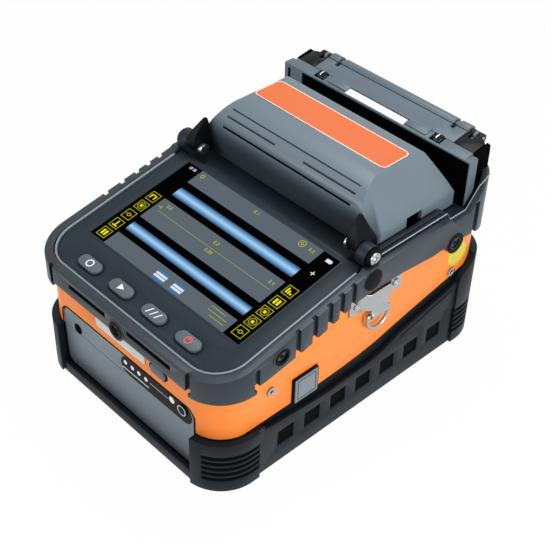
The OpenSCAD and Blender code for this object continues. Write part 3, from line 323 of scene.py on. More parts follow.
class Bench:
    """Modelling steps made of Blender's own operators."""

    @staticmethod
    def clear() -> None:
        """Leaves edit mode and deselects everything."""
        if bpy.context.object is not None and bpy.context.object.mode != "OBJECT":
            bpy.ops.object.mode_set(mode="OBJECT")
        bpy.ops.object.select_all(action="DESELECT")

    @staticmethod
    def take(obj: Piece) -> None:
        """Makes one object the only selected and the active one.

        Args:
            obj: the object.
        """
        Bench.clear()
        obj.select_set(True)
        bpy.context.view_layer.objects.active = obj

    @staticmethod
    def settle(obj: Piece) -> None:
        """Writes obj's place, turn and size into its mesh."""
        Bench.take(obj)
        bpy.ops.object.transform_apply(location=True, rotation=True, scale=True)

    @staticmethod
    def place(obj: Piece, move: Matrix) -> Piece:
        """Moves a piece and writes the move into its mesh.

        Args:
            obj: the piece.
            move: the move, in metres.

        Returns:
            The piece.
        """
        obj.matrix_world = move @ obj.matrix_world
        Bench.settle(obj)
        return obj

    @staticmethod
    def edit(obj: Piece) -> None:
        """Opens a piece for editing, with all of it selected.

        Args:
            obj: the piece.
        """
        Bench.take(obj)
        bpy.ops.object.mode_set(mode="EDIT")
        bpy.ops.mesh.select_all(action="SELECT")

    @staticmethod
    def hollow_out(line: float) -> None:
        """Turns the flat face that is being edited into a ring.

        Args:
            line: width of the ring.
        """
        bpy.ops.mesh.inset(thickness=line * MM)
        bpy.ops.mesh.delete(type="FACE")
        bpy.ops.mesh.select_all(action="SELECT")

    @staticmethod
    def raise_up(height: float) -> None:
        """Gives the flat shape that is being edited its height, and ends the editing.

        Args:
            height: its height along Z; 0 leaves it flat.
        """
        if height:
            bpy.ops.mesh.extrude_region_move(TRANSFORM_OT_translate={"value": (0, 0, height * MM)})
            bpy.ops.mesh.select_all(action="SELECT")
        bpy.ops.mesh.normals_make_consistent(inside=False)
        bpy.ops.object.mode_set(mode="OBJECT")

    @staticmethod
    def span(hand: int, near: float, far: float) -> Pair:
        """Returns both ends of a stretch on one side, the lower one first."""
        return min(hand * near, hand * far), max(hand * near, hand * far)

    @staticmethod
    def block(name: str, low: Point, high: Point) -> Piece:
        """Starts a piece from a block.

        Args:
            name: the piece's name.
            low: lowest corner.
            high: highest corner.

        Returns:
            The block.
        """
        Bench.clear()
        lowest, highest = Vector(low) * MM, Vector(high) * MM
        bpy.ops.mesh.primitive_cube_add(size=1, location=(lowest + highest) / 2)
        made = bpy.context.object
        made.name = made.data.name = name
        made.scale = highest - lowest
        Bench.settle(made)
        return made

    @staticmethod
    def disc(name: str, centre: Point, normal: Point, radius: float, height: float, sides: int = 48,
             hollow: float = 0.0) -> Piece:
        """Starts a round piece: a disc, or a ring where hollow is given.

        Args:
            name: the piece's name.
            centre: middle of its lower face.
            normal: the way that it stands.
            radius: outer radius.
            height: height along normal.
            sides: number of sides.
            hollow: inner radius of a ring.

        Returns:
            The disc.
        """
        Bench.clear()
        bpy.ops.mesh.primitive_circle_add(vertices=sides, radius=radius * MM, fill_type="NGON")
        made = bpy.context.object
        made.name = made.data.name = name
        Bench.edit(made)
        if hollow:
            Bench.hollow_out(radius - hollow)
        Bench.raise_up(height)
        turn = Vector(normal).to_track_quat("Z", "Y").to_matrix().to_4x4()
        return Bench.place(made, Matrix.Translation(Vector(centre) * MM) @ turn)

    @staticmethod
    def outline(name: str, points: Sequence[Pair], height: float) -> Piece:
        """Starts a piece from a flat outline, built up point by point and filled, then given its height.

        Args:
            name: the piece's name.
            points: the outline, in X and Y.
            height: its height along Z.

        Returns:
            The piece, in the XY plane.
        """
        Bench.clear()
        bpy.ops.mesh.primitive_plane_add(size=0.001)
        made = bpy.context.object
        made.name = made.data.name = name
        Bench.edit(made)
        bpy.ops.mesh.merge(type="CENTER")
        bpy.ops.transform.translate(value=(points[0][0] * MM, points[0][1] * MM, 0))
        for before, after in zip(points, points[1:]):
            step = ((after[0] - before[0]) * MM, (after[1] - before[1]) * MM, 0)
            bpy.ops.mesh.extrude_vertices_move(TRANSFORM_OT_translate={"value": step})
        bpy.ops.mesh.select_all(action="SELECT")
        bpy.ops.mesh.edge_face_add()
        Bench.raise_up(height)
        return made

    @staticmethod
    def rounded(x0: float, y0: float, x1: float, y1: float, radius: float) -> list[Pair]:
        """Returns the outline of a rounded rectangle, counter-clockwise.

        Args:
            x0: left edge.
            y0: lower edge.
            x1: right edge.
            y1: upper edge.
            radius: radius of its corners.

        Returns:
            The points.
        """
        points = []
        for x, y, start in ((x1 - radius, y0 + radius, -90), (x1 - radius, y1 - radius, 0),
                            (x0 + radius, y1 - radius, 90), (x0 + radius, y0 + radius, 180)):
            for step in range(7):
                turn = math.radians(start + 15 * step)
                points.append((x + radius * math.cos(turn), y + radius * math.sin(turn)))
        return points

    @staticmethod
    def ring_plate(name: str, points: Sequence[Pair], line: float, height: float) -> Piece:
        """Makes a flat ring that follows an outline.

        Args:
            name: the piece's name.
            points: the outer outline, in X and Y.
            line: width of the ring.
            height: its height along Z.

        Returns:
            The ring, in the XY plane.
        """
        made = Bench.outline(name, points, 0)
        Bench.edit(made)
        Bench.hollow_out(line)
        Bench.raise_up(height)
        return made

    @staticmethod
    def stand(obj: Piece, at: Point, facing: Point) -> Piece:
        """Turns a flat piece made in the XY plane so that its top faces outwards, and puts it in place.

        Args:
            obj: the piece.
            at: where its origin goes.
            facing: the way that its top faces, along X or Y.

        Returns:
            The piece.
        """
        ahead = Vector(facing)
        up = Vector(UP)
        turn = Matrix((up.cross(ahead), up, ahead)).transposed().to_4x4()
        return Bench.place(obj, Matrix.Translation(Vector(at) * MM) @ turn)

    @staticmethod
    def upright(name: str, points: Sequence[Pair], x0: float, x1: float) -> Piece:
        """Makes a piece from a side outline.

        Args:
            name: the piece's name.
            points: the outline, in Y and Z.
            x0: its left end.
            x1: its right end.

        Returns:
            The piece.
        """
        made = Bench.outline(name, points, x1 - x0)
        turn = Matrix(((0, 0, 1, 0), (1, 0, 0, 0), (0, 1, 0, 0), (0, 0, 0, 1)))
        return Bench.place(made, Matrix.Translation((x0 * MM, 0, 0)) @ turn)

    @staticmethod
    def double(obj: Piece, shift: Point) -> Piece:
        """Copies a piece, with a mesh of its own, and shifts the copy.

        Args:
            obj: the piece.
            shift: how far the copy is moved.

        Returns:
            The copy.
        """
        made = obj.copy()
        made.data = obj.data.copy()
        bpy.context.scene.collection.objects.link(made)
        made.location = Vector(shift) * MM
        Bench.settle(made)
        return made

    @staticmethod
    def slice_off(obj: Piece, at: Point, normal: Point) -> None:
        """Cuts obj by a plane and closes the cut.

        Args:
            obj: the piece.
            at: a point of the plane.
            normal: points to the side that goes.
        """
        Bench.edit(obj)
        bpy.ops.mesh.bisect(plane_co=Vector(at) * MM, plane_no=Vector(normal).normalized(), use_fill=True,
                            clear_outer=True, threshold=1e-7)
        Bench.clear()

    @staticmethod
    def modify(obj: Piece, kind: str, **values: object) -> None:
        """Adds one modifier and applies it.

        Args:
            obj: the piece.
            kind: the modifier's type.
            values: its settings.
        """
        Bench.take(obj)
        added = obj.modifiers.new(kind.lower(), kind)
        for key, value in values.items():
            setattr(added, key, value)
        bpy.ops.object.modifier_apply(modifier=added.name)
        Bench.clear()

    @staticmethod
    def soften(obj: Piece, width: float, steps: int = 2, over: float = 28.0) -> None:
        """Rounds the sharp edges of obj and shades it smooth.

        Args:
            obj: the piece.
            width: width of the rounding.
            steps: faces across the rounding.
            over: edges sharper than this many degrees are rounded.
        """
        Bench.modify(obj, "BEVEL", width=width * MM, segments=steps, limit_method="ANGLE",
                     angle_limit=math.radians(over), use_clamp_overlap=True, miter_outer="MITER_ARC",
                     harden_normals=False)
        Bench.smooth(obj)

    @staticmethod
    def smooth(obj: Piece, angle: float = 34.0) -> None:
        """Shades obj smooth and keeps its sharp edges.

        Args:
            obj: the piece.
            angle: edges sharper than this many degrees stay sharp.
        """
        Bench.take(obj)
        bpy.ops.object.shade_smooth_by_angle(angle=math.radians(angle))
        Bench.clear()

    @staticmethod
    def carve(obj: Piece, *cutters: Piece) -> None:
        """Takes the cutters out of obj, and removes them.

        Args:
            obj: the piece.
            cutters: the shapes that are taken out.
        """
        for cutter in cutters:
            Bench.modify(obj, "BOOLEAN", operation="DIFFERENCE", object=cutter, solver="EXACT")
            bpy.data.objects.remove(cutter)

    @staticmethod
    def join(name: str, parts: Sequence[Piece]) -> Piece:
        """Joins parts into one piece.

        Args:
            name: the piece's name.
            parts: what it is made of.

        Returns:
            The piece.
        """
        Bench.clear()
        for part in parts:
            part.select_set(True)
        bpy.context.view_layer.objects.active = parts[0]
        if len(parts) > 1:
            bpy.ops.object.join()
        parts[0].name = parts[0].data.name = name
        Bench.clear()
        return parts[0]

    @staticmethod
    def copy(node: str, name: str) -> Piece:
        """Copies a solid, with its triangles merged into clean faces.

        Args:
            node: the solid.
            name: the copy's name.

        Returns:
            The copy.
        """
        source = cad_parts[node]
        made = bpy.data.objects.new(name, source.data.copy())
        bpy.context.scene.collection.objects.link(made)
        Bench.take(made)
        bpy.ops.mesh.customdata_custom_splitnormals_clear()
        Bench.edit(made)
        bpy.ops.mesh.remove_doubles(threshold=2e-6)
        bpy.ops.mesh.dissolve_limited(angle_limit=math.radians(0.6))
        Bench.clear()
        return made

    @staticmethod
    def give(obj: Piece, finish: Finish, body: str, *stands_for: str) -> Piece:
        """Finishes a piece: its material, its body and the solids that it stands for.

        Args:
            obj: the piece.
            finish: its finish.
            body: the body that it moves with.
            stands_for: the solids that it replaces.

        Returns:
            The piece.
        """
        obj.data.materials.clear()
        obj.data.materials.append(finish.material())
        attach(obj, body)
        if stands_for:
            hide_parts(*stands_for)
        log.info("%s: %d faces, on %s", obj.name, len(obj.data.polygons), body)
        return obj

    @staticmethod
    def group(name: str, parts: Sequence[Piece], finish: Finish, body: str) -> None:
        """Joins parts into one finished piece."""
        Bench.give(Bench.join(name, parts), finish, body)


@dataclass(frozen=True)
class Turned:
    """A turned detail: how far out it starts, its radius, height, number of sides and bore."""

    out: float
    radius: float
    height: float
    sides: int = 48
    bore: float = 0.0

    def on_side(self, hand: int, y: float, z: float) -> Piece:
        """Makes it on the right side (1) or the left side (-1)."""
        return Bench.disc("turned", (hand * self.out, y, z), (hand, 0, 0), self.radius, self.height,
                          self.sides, self.bore)

    def on_front(self, x: float, z: float) -> Piece:
        """Makes it on the front."""
        return Bench.disc("turned", (x, -self.out, z), AHEAD, self.radius, self.height, self.sides, self.bore)


@dataclass
class PlainSolids:
    """Solids that are shown as they are, each with its finish."""

    finishes: dict[str, Finish] = field(default_factory=lambda: {
        "base_tray": Finishes.TRAY, "feet": Finishes.FOOT, "frame_screws": Finishes.SCREW,
        "lcd_module": Finishes.SHEET, "screen_glass": Finishes.GLASS, "key_board": Finishes.BOARD,
        "battery_bay": Finishes.TRAY, "main_board": Finishes.BOARD, "arc_module": Finishes.POTTED,
        "side_ports": Finishes.POTTED, "fan_housing": Finishes.TRAY, "fan_rotor": Finishes.TRAY,
        "arc_base": Finishes.ALLOY, "v_groove": Finishes.CERAMIC, "electrodes": Finishes.ROD,
        "electrode_clamps": Finishes.TRAY, "objectives": Finishes.ANODISED,
        "camera_boards": Finishes.BOARD, "feed_motors": Finishes.SHEET, "stage_left": Finishes.ALLOY,
        "stage_right": Finishes.ALLOY, "holder_lid_left": Finishes.ANODISED,
        "holder_lid_right": Finishes.ANODISED, "cover_lamp": Finishes.LAMP, "clamp_arms": Finishes.ALLOY,
        "heater_plate": Finishes.SHEET, "heater_pin": Finishes.BRIGHT, "battery_cells": Finishes.CELL,
        "battery_board": Finishes.BOARD, "battery_test_key": Finishes.WINDOW,
        "d_ring_right": Finishes.BRIGHT, "d_ring_left": Finishes.BRIGHT,
        "seal_sticker": Finishes.STICKER, "cover_label": Finishes.LABEL,
        "heater_label": Finishes.HEATER_WHITE, "battery_window": Finishes.WINDOW,
    })

    def dress(self) -> None:
        """Gives each solid its material."""
        for node, finish in self.finishes.items():
            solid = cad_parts[node]
            solid.data.materials.clear()
            solid.data.materials.append(finish.material())
            log.info("%s: %s", node, finish.name)


@dataclass
class Moulding:
    """A solid whose edges are softened as its mould does."""

    node: str
    body: str
    finish: Finish
    width: float = 0.4
    steps: int = 2
    over: float = 28.0

    def build(self) -> Piece:
        """Makes the softened copy that stands for the solid.

        Returns:
            The copy.
        """
        made = Bench.copy(self.node, self.node + "_moulding")
        Bench.soften(made, self.width, self.steps, self.over)
        return Bench.give(made, self.finish, self.body, self.node)


@dataclass
class PanelPlane:
    """The tilted face of the screen panel: x across, v up the slope from its front edge."""

    front_y: float = -89.8
    front_z: float = 70.8
    tilt: float = 11.05

    def matrix(self) -> Matrix:
        """Returns the turn and place of the panel's face."""
        place = Matrix.Translation(Vector((0, self.front_y, self.front_z)) * MM)
        return place @ Matrix.Rotation(math.radians(self.tilt), 4, "X")

    def lay(self, obj: Piece) -> Piece:
        """Lays a piece made in the XY plane on the panel."""
        return Bench.place(obj, self.matrix())


@dataclass
class WindCover:
    """The hinged wind cover: a hull cut from a block, with grooves with painted shade in them, label border and
    black arms.
    """

    top: float = 118.0
    half_low: float = 58.6
    bottom: float = 85.9
    wall: float = 2.0
    edge: float = 0.7
    fibre_y: float = 40.0
    notch: float = 10.8
    notch_top: float = 94.9
    groove_depth: float = 0.45
    groove_end: float = 44.2
    groove_gap: float = 9.8
    arm_middle: float = 56.55
    arm_width: float = 6.5
    arm_cut: Pair = (59.9, 97.5)
    arm_slope: Pair = (12.0, 5.4)
    hinge: Pair = HINGE
    profile: tuple[Pair, ...] = (
        (12.43, 85.0), (11.97, 86.56), (10.67, 90.96), (8.77, 103.0), (8.77, 105.6), (9.37, 107.8), (10.77, 110.4),
        (12.97, 112.8), (15.57, 114.9), (18.77, 116.5), (22.37, 117.6), (25.97, 118.0), (54.0, 118.0), (57.0, 116.8),
        (69.6, 93.96), (70.0, 90.96), (69.6, 86.86), (69.6, 80.0))
    flank: tuple[Pair, ...] = (
        (58.6, 80.0), (58.6, 94.4), (57.5, 97.6), (56.0, 101.2), (54.2, 104.8), (52.2, 108.3), (50.3, 111.6),
        (48.4, 114.8), (46.9, 116.9), (45.2, 118.0))

    def planes(self) -> list[tuple[Point, Point]]:
        """Lists the cuts that turn a block into the hull.

        Returns:
            The cuts, each as a point and an outward normal.
        """
        cuts = []
        for (y0, z0), (y1, z1) in zip(self.profile, self.profile[1:]):
            cuts.append(((0.0, y0, z0), (0.0, -(z1 - z0), y1 - y0)))
        for (x0, z0), (x1, z1) in zip(self.flank, self.flank[1:]):
            for hand in (1, -1):
                cuts.append(((hand * x0, 0.0, z0), (hand * (z1 - z0), 0.0, -(x1 - x0))))
        return cuts

    def build(self) -> None:
        """Makes the cover's pieces."""
        hull = Bench.block("wind_cover_hull", (-self.half_low - 2, 5, self.bottom),
                           (self.half_low + 2, 75, self.top + 2))
        for at, normal in self.planes():
            Bench.slice_off(hull, at, normal)
        Bench.modify(hull, "BEVEL", width=self.edge * MM, segments=4, limit_method="ANGLE",
                     angle_limit=math.radians(24), use_clamp_overlap=True)
        Bench.take(hull)
        bpy.ops.object.mode_set(mode="EDIT")
        bpy.ops.mesh.select_all(action="DESELECT")
        bpy.ops.object.mode_set(mode="OBJECT")
        for face in hull.data.polygons:
            face.select = face.center.z < (self.bottom + 0.1) * MM
        bpy.ops.object.mode_set(mode="EDIT")
        bpy.ops.mesh.delete(type="FACE")
        Bench.clear()
        Bench.modify(hull, "SOLIDIFY", thickness=self.wall * MM, offset=-1)
        grooves = [Bench.block("groove", low, high) for low, high in self.lines(0.0)]
        for hand in SIDES:
            low, high = Bench.span(hand, self.half_low - 6, self.half_low + 1)
            grooves.append(Bench.block("notch", (low, self.fibre_y - self.notch / 2, self.bottom - 1),
                                       (high, self.fibre_y + self.notch / 2, self.notch_top)))
        Bench.carve(hull, *grooves)
        Bench.smooth(hull, 30)
        Bench.give(hull, Finishes.COVER, "wind_cover", "wind_cover")
        # Flat black blocks at the floors of the grooves: painted shade.
        fills = [Bench.block("fill", low, high) for low, high in self.lines(self.groove_depth)]
        Bench.group("cover_groove_shade", fills, Finishes.SHADE, "wind_cover")
        self.arms()
        self.border()

    def lines(self, sink: float) -> list[tuple[Point, Point]]:
        """Returns the blocks of the grooves across the front.

        Args:
            sink: how far below the surface they stop; 0 lets them stand through it.

        Returns:
            The lowest and highest corner of each.
        """
        made = []
        end, gap = self.groove_end, self.groove_gap
        for y, z, x0, x1 in ((15.97, 115.1, -end, end), (9.45, 108.0, -end, end), (12.5, 112.3, gap, end),
                             (12.5, 112.3, -end, -gap)):
            if sink:
                made.append(((x0, y - 0.1, z - 1.4), (x1, y + 0.75, z - sink)))
            else:
                made.append(((x0, y - 0.35, z - 1.2), (x1, y + 0.4, z + 2.2)))
        return made

    def arms(self) -> None:
        """Makes the black arms that carry the cover on its axles; their black is partly their own, partly painted
        shade.
        """
        parts = []
        y, z = self.hinge
        shape = [(y - 5, z + 2), (y + 2, z - 5), (12.9, z - 4), (12.6, z + 2.5), (y + 6.6, z + 9.5),
                 (y + 4.4, z + 15.8), (y + 3.0, z + 16.4), (y + 0.4, z + 13.6), (y - 3.4, z + 9.0),
                 (y - 4.8, z + 4.5)]
        for hand in SIDES:
            middle = hand * self.arm_middle
            arm = Bench.upright("arm", shape, middle - self.arm_width / 2, middle + self.arm_width / 2)
            Bench.slice_off(arm, (hand * self.arm_cut[0], 0, self.arm_cut[1]),
                            (hand * self.arm_slope[0], 0, self.arm_slope[1]))
            Bench.soften(arm, 0.5, 3)
            parts.append(arm)
        Bench.group("cover_arms", parts, Finishes.COVER_ARM, "wind_cover")

    def border(self) -> None:
        """Makes the thin pale border of the label."""
        low, high = (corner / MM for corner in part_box("cover_label"))
        ring = Bench.ring_plate("label_border", Bench.rounded(low.x, low.y, high.x, high.y, 3.0), 0.5, 0.3)
        Bench.place(ring, Matrix.Translation((0, 0, low.z * MM)))
        Bench.give(ring, Finishes.LABEL_EDGE, "wind_cover")


@dataclass(frozen=True)
class Sign:
    """A sign of the screen's columns: its bars and its ring, from its middle."""

    fills: tuple[Bar, ...] = ()
    lines: tuple[Bar, ...] = ()
    ring: Pair | None = None


@dataclass
class Screen:
    """The lit picture of the screen, laid just above the glass."""

    plane: PanelPlane = field(default_factory=PanelPlane)
    layer: float = 0.03
    rim: float = 1.15
    front: float = 21.5
    width: float = 108.0
    depth: float = 64.8
    column: float = 43.3
    icon: float = 6.2
    icon_line: float = 0.38
    icon_right: tuple[float, tuple[float, ...]] = (49.1, (5.6, 13.1, 20.7, 28.4, 36.6))
    icon_left: tuple[float, tuple[float, ...]] = (-48.5, (4.6, 12.3, 20.2, 28.3, 36.1))
    bands: tuple[Pair, ...] = ((0.0, 9.3), (23.0, 39.3), (54.3, 64.8))
    fibre_bands: tuple[Pair, ...] = ((12.9, 18.8), (43.2, 49.7))
    strokes: tuple[str, ...] = ("abcdef", "bc", "abdeg", "abcdg", "bcfg", "acdfg", "acdefg", "abc", "abcdefg",
                                "abcdfg")
    kinds: tuple[tuple[int, ...], ...] = ((0, 1, 2, 3, 5), (2, 3, 3, 0, 4))
    signs: tuple[Sign, ...] = (
        Sign(fills=((-1.6, -1.7, -0.3, 1.7), (0.3, -1.7, 1.6, 1.7))),
        Sign(fills=((-0.4, -1.9, 0.4, 1.9), (-1.6, -1.9, 1.6, -1.2))),
        Sign(lines=((-2.3, -0.2, -1.3, 0.2), (1.3, -0.2, 2.3, 0.2)), ring=(1.2, 0.5)),
        Sign(fills=((-0.8, -0.8, 0.8, 0.8),), ring=(2.2, 0.4)),
        Sign(fills=((-1.9, -1.7, -1.0, 1.7), (-0.55, -1.7, 0.35, 0.6), (0.8, -1.7, 1.7, -0.5))),
        Sign(fills=((-1.9, -1.4, -1.1, 1.4), (-1.9, 0.8, 1.6, 1.4), (0.9, -1.4, 1.6, 1.4))))

    def plate(self, x0: float, v0: float, x1: float, v1: float, level: int = 0) -> Piece:
        """Makes one flat area of the picture.

        Args:
            x0: left edge.
            v0: front edge, from the screen's front.
            x1: right edge.
            v1: rear edge.
            level: how many layers above the ground it lies.

        Returns:
            The area, in the panel's own plane.
        """
        base = self.layer * level
        return Bench.block("plate", (x0, self.front + v0, base), (x1, self.front + v1, base + self.layer))

    def bars(self, parts: Sequence[Bar], x: float = 0.0, v: float = 0.0) -> list[Piece]:
        """Makes bars on top of the picture.

        Args:
            parts: the edges of each, from the middle.
            x: the middle.
            v: the middle, from the screen's front.

        Returns:
            The bars.
        """
        return [self.plate(x + x0, v + v0, x + x1, v + v1, 2) for x0, v0, x1, v1 in parts]

    def ring(self, x: float, v: float, radius: float, line: float) -> Piece:
        """Makes a round outline on top of the picture."""
        return Bench.disc("ring", (x, self.front + v, 2 * self.layer), UP, radius, self.layer, 24, radius - line)

    def frame_mark(self, x: float, v: float) -> list[Piece]:
        """Makes the square outline of a sign, round the given middle."""
        half, near = self.icon / 2, self.icon / 2 - self.icon_line
        return self.bars(((-half, -half, half, -near), (-half, near, half, half), (-half, -half, -near, half),
                          (near, -half, half, half)), x, v)

    def digits(self, number: str, x: float, v: float, height: float = 1.9) -> list[Piece]:
        """Makes a number from bars, as on a dial.

        Args:
            number: its digits, with points where they stand.
            x: its middle.
            v: its middle, from the screen's front.
            height: height of a digit.

        Returns:
            The bars.
        """
        wide, line = height * 0.52, height * 0.16
        step = wide + line * 1.6
        count = sum(1.0 if sign != "." else 0.45 for sign in number)
        at = x - count * step / 2
        made = []
        for sign in number:
            low, mid, high = v - height / 2, v, v + height / 2
            if sign == ".":
                made += self.bars([(at, low, at + line * 1.2, low + line * 1.2)])
                at += 0.45 * step
                continue
            bars = {"a": (0, high - line, wide, high), "b": (wide - line, mid, wide, high),
                    "c": (wide - line, low, wide, mid), "d": (0, low, wide, low + line), "e": (0, low, line, mid),
                    "f": (0, mid, line, high), "g": (0, mid - line / 2, wide, mid + line / 2)}
            made += self.bars([bars[name] for name in self.strokes[int(sign)]], at)
            at += step
        return made

    def finish_group(self, name: str, parts: Sequence[Piece], finish: Finish) -> None:
        """Joins parts, lays them on the panel and finishes them."""
        Bench.give(self.plane.lay(Bench.join(name, parts)), finish, "chassis")

    def build(self) -> None:
        """Makes the picture."""
        half = self.width / 2
        self.finish_group("picture_ground", [self.plate(-half, 0, half, self.depth)],
                          lit("lit_black", 4, 4, 5))
        bands = [self.plate(-self.column, v0, self.column, v1, 1) for v0, v1 in self.bands]
        self.finish_group("picture_bands", bands, lit("lit_grey", 92, 103, 112))
        self.edge()
        self.fibres()
        self.icons()
        self.marks()

    def edge(self) -> None:
        """Makes the painted edge that covers the rim of the glass."""
        half = self.width / 2 + self.rim
        low, high = self.front - self.rim, self.front + self.depth + self.rim
        points = [(-half, low), (half, low), (half, high), (-half, high)]
        Bench.give(self.plane.lay(Bench.ring_plate("screen_edge", points, self.rim, 0.05)), Finishes.PANEL,
                   "chassis")

    def fibres(self) -> None:
        """Makes the two bright fibre bands, each of seven stripes."""
        shades = (("lit_blue_edge", 70, 106, 142), ("lit_blue_deep", 104, 152, 194), ("lit_blue", 134, 184, 226),
                  ("lit_blue_pale", 168, 206, 238))
        stripes: dict[str, list[Piece]] = {shade[0]: [] for shade in shades}
        for v0, v1 in self.fibre_bands:
            step = (v1 - v0) / 7
            for index, shade in enumerate((0, 1, 2, 3, 2, 1, 0)):
                low = v0 + index * step
                stripes[shades[shade][0]].append(self.plate(-42.5, low, 43.0, low + step, 1))
        for name, red, green, blue in shades:
            self.finish_group("picture_" + name, stripes[name], lit(name, red, green, blue))

    def icons(self) -> None:
        """Makes the two columns of outlined signs."""
        lines: list[Piece] = []
        fills: list[Piece] = []
        for (x, column), kinds in zip((self.icon_left, self.icon_right), self.kinds):
            for v, kind in zip(column, kinds):
                sign = self.signs[kind]
                lines += self.frame_mark(x, v)
                if sign.ring is not None:
                    lines.append(self.ring(x, v, *sign.ring))
                lines += self.bars(sign.lines, x, v)
                fills += self.bars(sign.fills, x, v)
        self.finish_group("picture_icon_lines", lines, lit("lit_olive", 176, 172, 14))
        self.finish_group("picture_icon_fills", fills, lit("lit_yellow", 230, 226, 30))

    def marks(self) -> None:
        """Makes the small readings, the centre line and the status signs."""
        yellow = self.bars([(-39.5, 31.2, 41, 31.4), (-41.5, 33.6, -39.2, 34.0), (-40.0, 33.0, -39.4, 34.6)])
        for number, x, v in (("0.2", 0.3, 35.2), ("0.00", 1.3, 29.2), ("0.0", -36, 36.5), ("0.4", 38.9, 34.9),
                             ("0.1", 0.3, 61.8), ("0.5", 38.9, 61.1)):
            yellow += self.digits(number, x, v)
        for v, start, count in ((7.2, 28, 7), (4.9, 28, 9), (2.6, 31, 7)):
            yellow += self.bars([(1.4 * k, 0, 1.4 * k + 0.95, 0.5) for k in range(count)], start, v)
        yellow += [self.ring(32.0, 61.5, 2.1, 0.4), self.ring(32.0, 61.5, 0.9, 0.4),
                   self.ring(-40.1, 61.8, 1.3, 0.5)]
        self.finish_group("picture_readings", yellow, lit("lit_reading", 178, 178, 24))
        white = self.bars([(48.0, 60.3, 51.2, 62.4), (51.2, 60.9, 51.7, 61.8), (48.9, 49.9, 49.4, 52.5),
                           (47.9, 50.9, 50.3, 51.4)])
        white += self.digits("1210", -48.4, 62.4, 1.7)
        blue: list[Piece] = []
        for x0, x1 in ((-8.1, -0.5), (4.2, 11.2)):
            blue += self.bars([(x0, v, x1, v + 1.3) for v in (0.9, 5.1)])
            white += self.bars([(x0, v, x1, v + 1.25) for v in (2.2, 3.85)])
        self.finish_group("picture_status", white, lit("lit_white", 226, 230, 234))
        self.finish_group("picture_pair", blue, lit("lit_sign_blue", 56, 124, 190))


@dataclass
class Keys:
    """The four keys with the painted shade in their wells, and their signs."""

    plane: PanelPlane = field(default_factory=PanelPlane)
    pitch: float = 24.0
    row: float = 7.8
    length: float = 15.0
    breadth: float = 6.8
    height: float = 1.6
    shade_width: float = 0.65
    sign_height: float = 0.08
    names: tuple[str, ...] = ("key_circle", "key_arrow", "key_bars", "key_power")

    def build(self) -> None:
        """Makes the keys, the painted shade in their wells and their signs."""
        signs: tuple[Callable[[float], list[Piece]], ...] = (self.circle, self.arrow, self.bars, self.power)
        for index, name in enumerate(self.names):
            x = (index - 1.5) * self.pitch
            cap = Bench.copy(name, name + "_cap")
            Bench.soften(cap, 0.7, 3, 50)
            Bench.give(cap, Finishes.KEY, name, name)
            sign = self.plane.lay(Bench.join(name + "_sign", signs[index](x)))
            Bench.give(sign, Finishes.RED_MARK if index == 3 else Finishes.WHITE_MARK, name)
            self.shade_ring(x, name)

    def shade_ring(self, x: float, name: str) -> None:
        """Makes the dark ring round one key: painted shade in its well.

        Args:
            x: the key's middle.
            name: the key's name.
        """
        run = (self.length - self.breadth) / 2
        reach = self.breadth / 2 + 0.1
        inner, outer = ([(x + hand * run + away * math.cos(turn), self.row + away * math.sin(turn))
                         for hand, turn in self.turns()] for away in (reach, reach + self.shade_width))
        # The ring is near black: painted shade in the well round the key.
        body = Bench.outline(name + "_well", outer, 0.25)
        hole = Bench.outline("hole", inner, 4)
        Bench.place(hole, Matrix.Translation((0, 0, -0.002)))
        Bench.carve(body, hole)
        Bench.soften(body, 0.1, 2, 50)
        self.plane.lay(body)
        Bench.give(body, Finishes.KEY_SHADE, "chassis")

    @staticmethod
    def turns() -> list[tuple[int, float]]:
        """Lists the sides and angles round an oval.

        Returns:
            The side and the angle of each point, counter-clockwise.
        """
        right = [(1, math.radians(a)) for a in range(-90, 91, 10)]
        left = [(-1, math.radians(a)) for a in range(90, 271, 10)]
        return right + left

    def top(self) -> float:
        """Returns the height of a sign's underside."""
        return self.height - 0.02

    def circle(self, x: float) -> list[Piece]:
        """Makes the ring sign."""
        return [Bench.disc("sign", (x, self.row, self.top()), UP, 2.2, self.sign_height, 32, 1.6)]

    def flat_sign(self, points: Sequence[Pair]) -> Piece:
        """Makes a part of a sign, on top of its key, from its outline."""
        return Bench.place(Bench.outline("sign", points, self.sign_height),
                           Matrix.Translation((0, 0, self.top() * MM)))

    def arrow(self, x: float) -> list[Piece]:
        """Makes the triangle sign."""
        return [self.flat_sign([(x - 1.5, self.row - 1.8), (x + 2.0, self.row), (x - 1.5, self.row + 1.8)])]

    def bars(self, x: float) -> list[Piece]:
        """Makes the sign of three slanted bars."""
        low, high = self.row - 1.9, self.row + 1.9
        return [self.flat_sign([(at - 1.2, low), (at - 0.6, low), (at + 1.2, high), (at + 0.6, high)])
                for at in (x - 3.0, x, x + 3.0)]

    def power(self, x: float) -> list[Piece]:
        """Makes the power sign.

        Args:
            x: the key's middle.

        Returns:
            Its ring and its bar.
        """
        ring = Bench.disc("sign", (x, self.row, self.top()), UP, 2.1, self.sign_height, 32, 1.5)
        bar = Bench.block("sign", (x - 0.28, self.row + 0.2, self.top()),
                          (x + 0.28, self.row + 1.7, self.top() + self.sign_height))
        return [ring, bar]


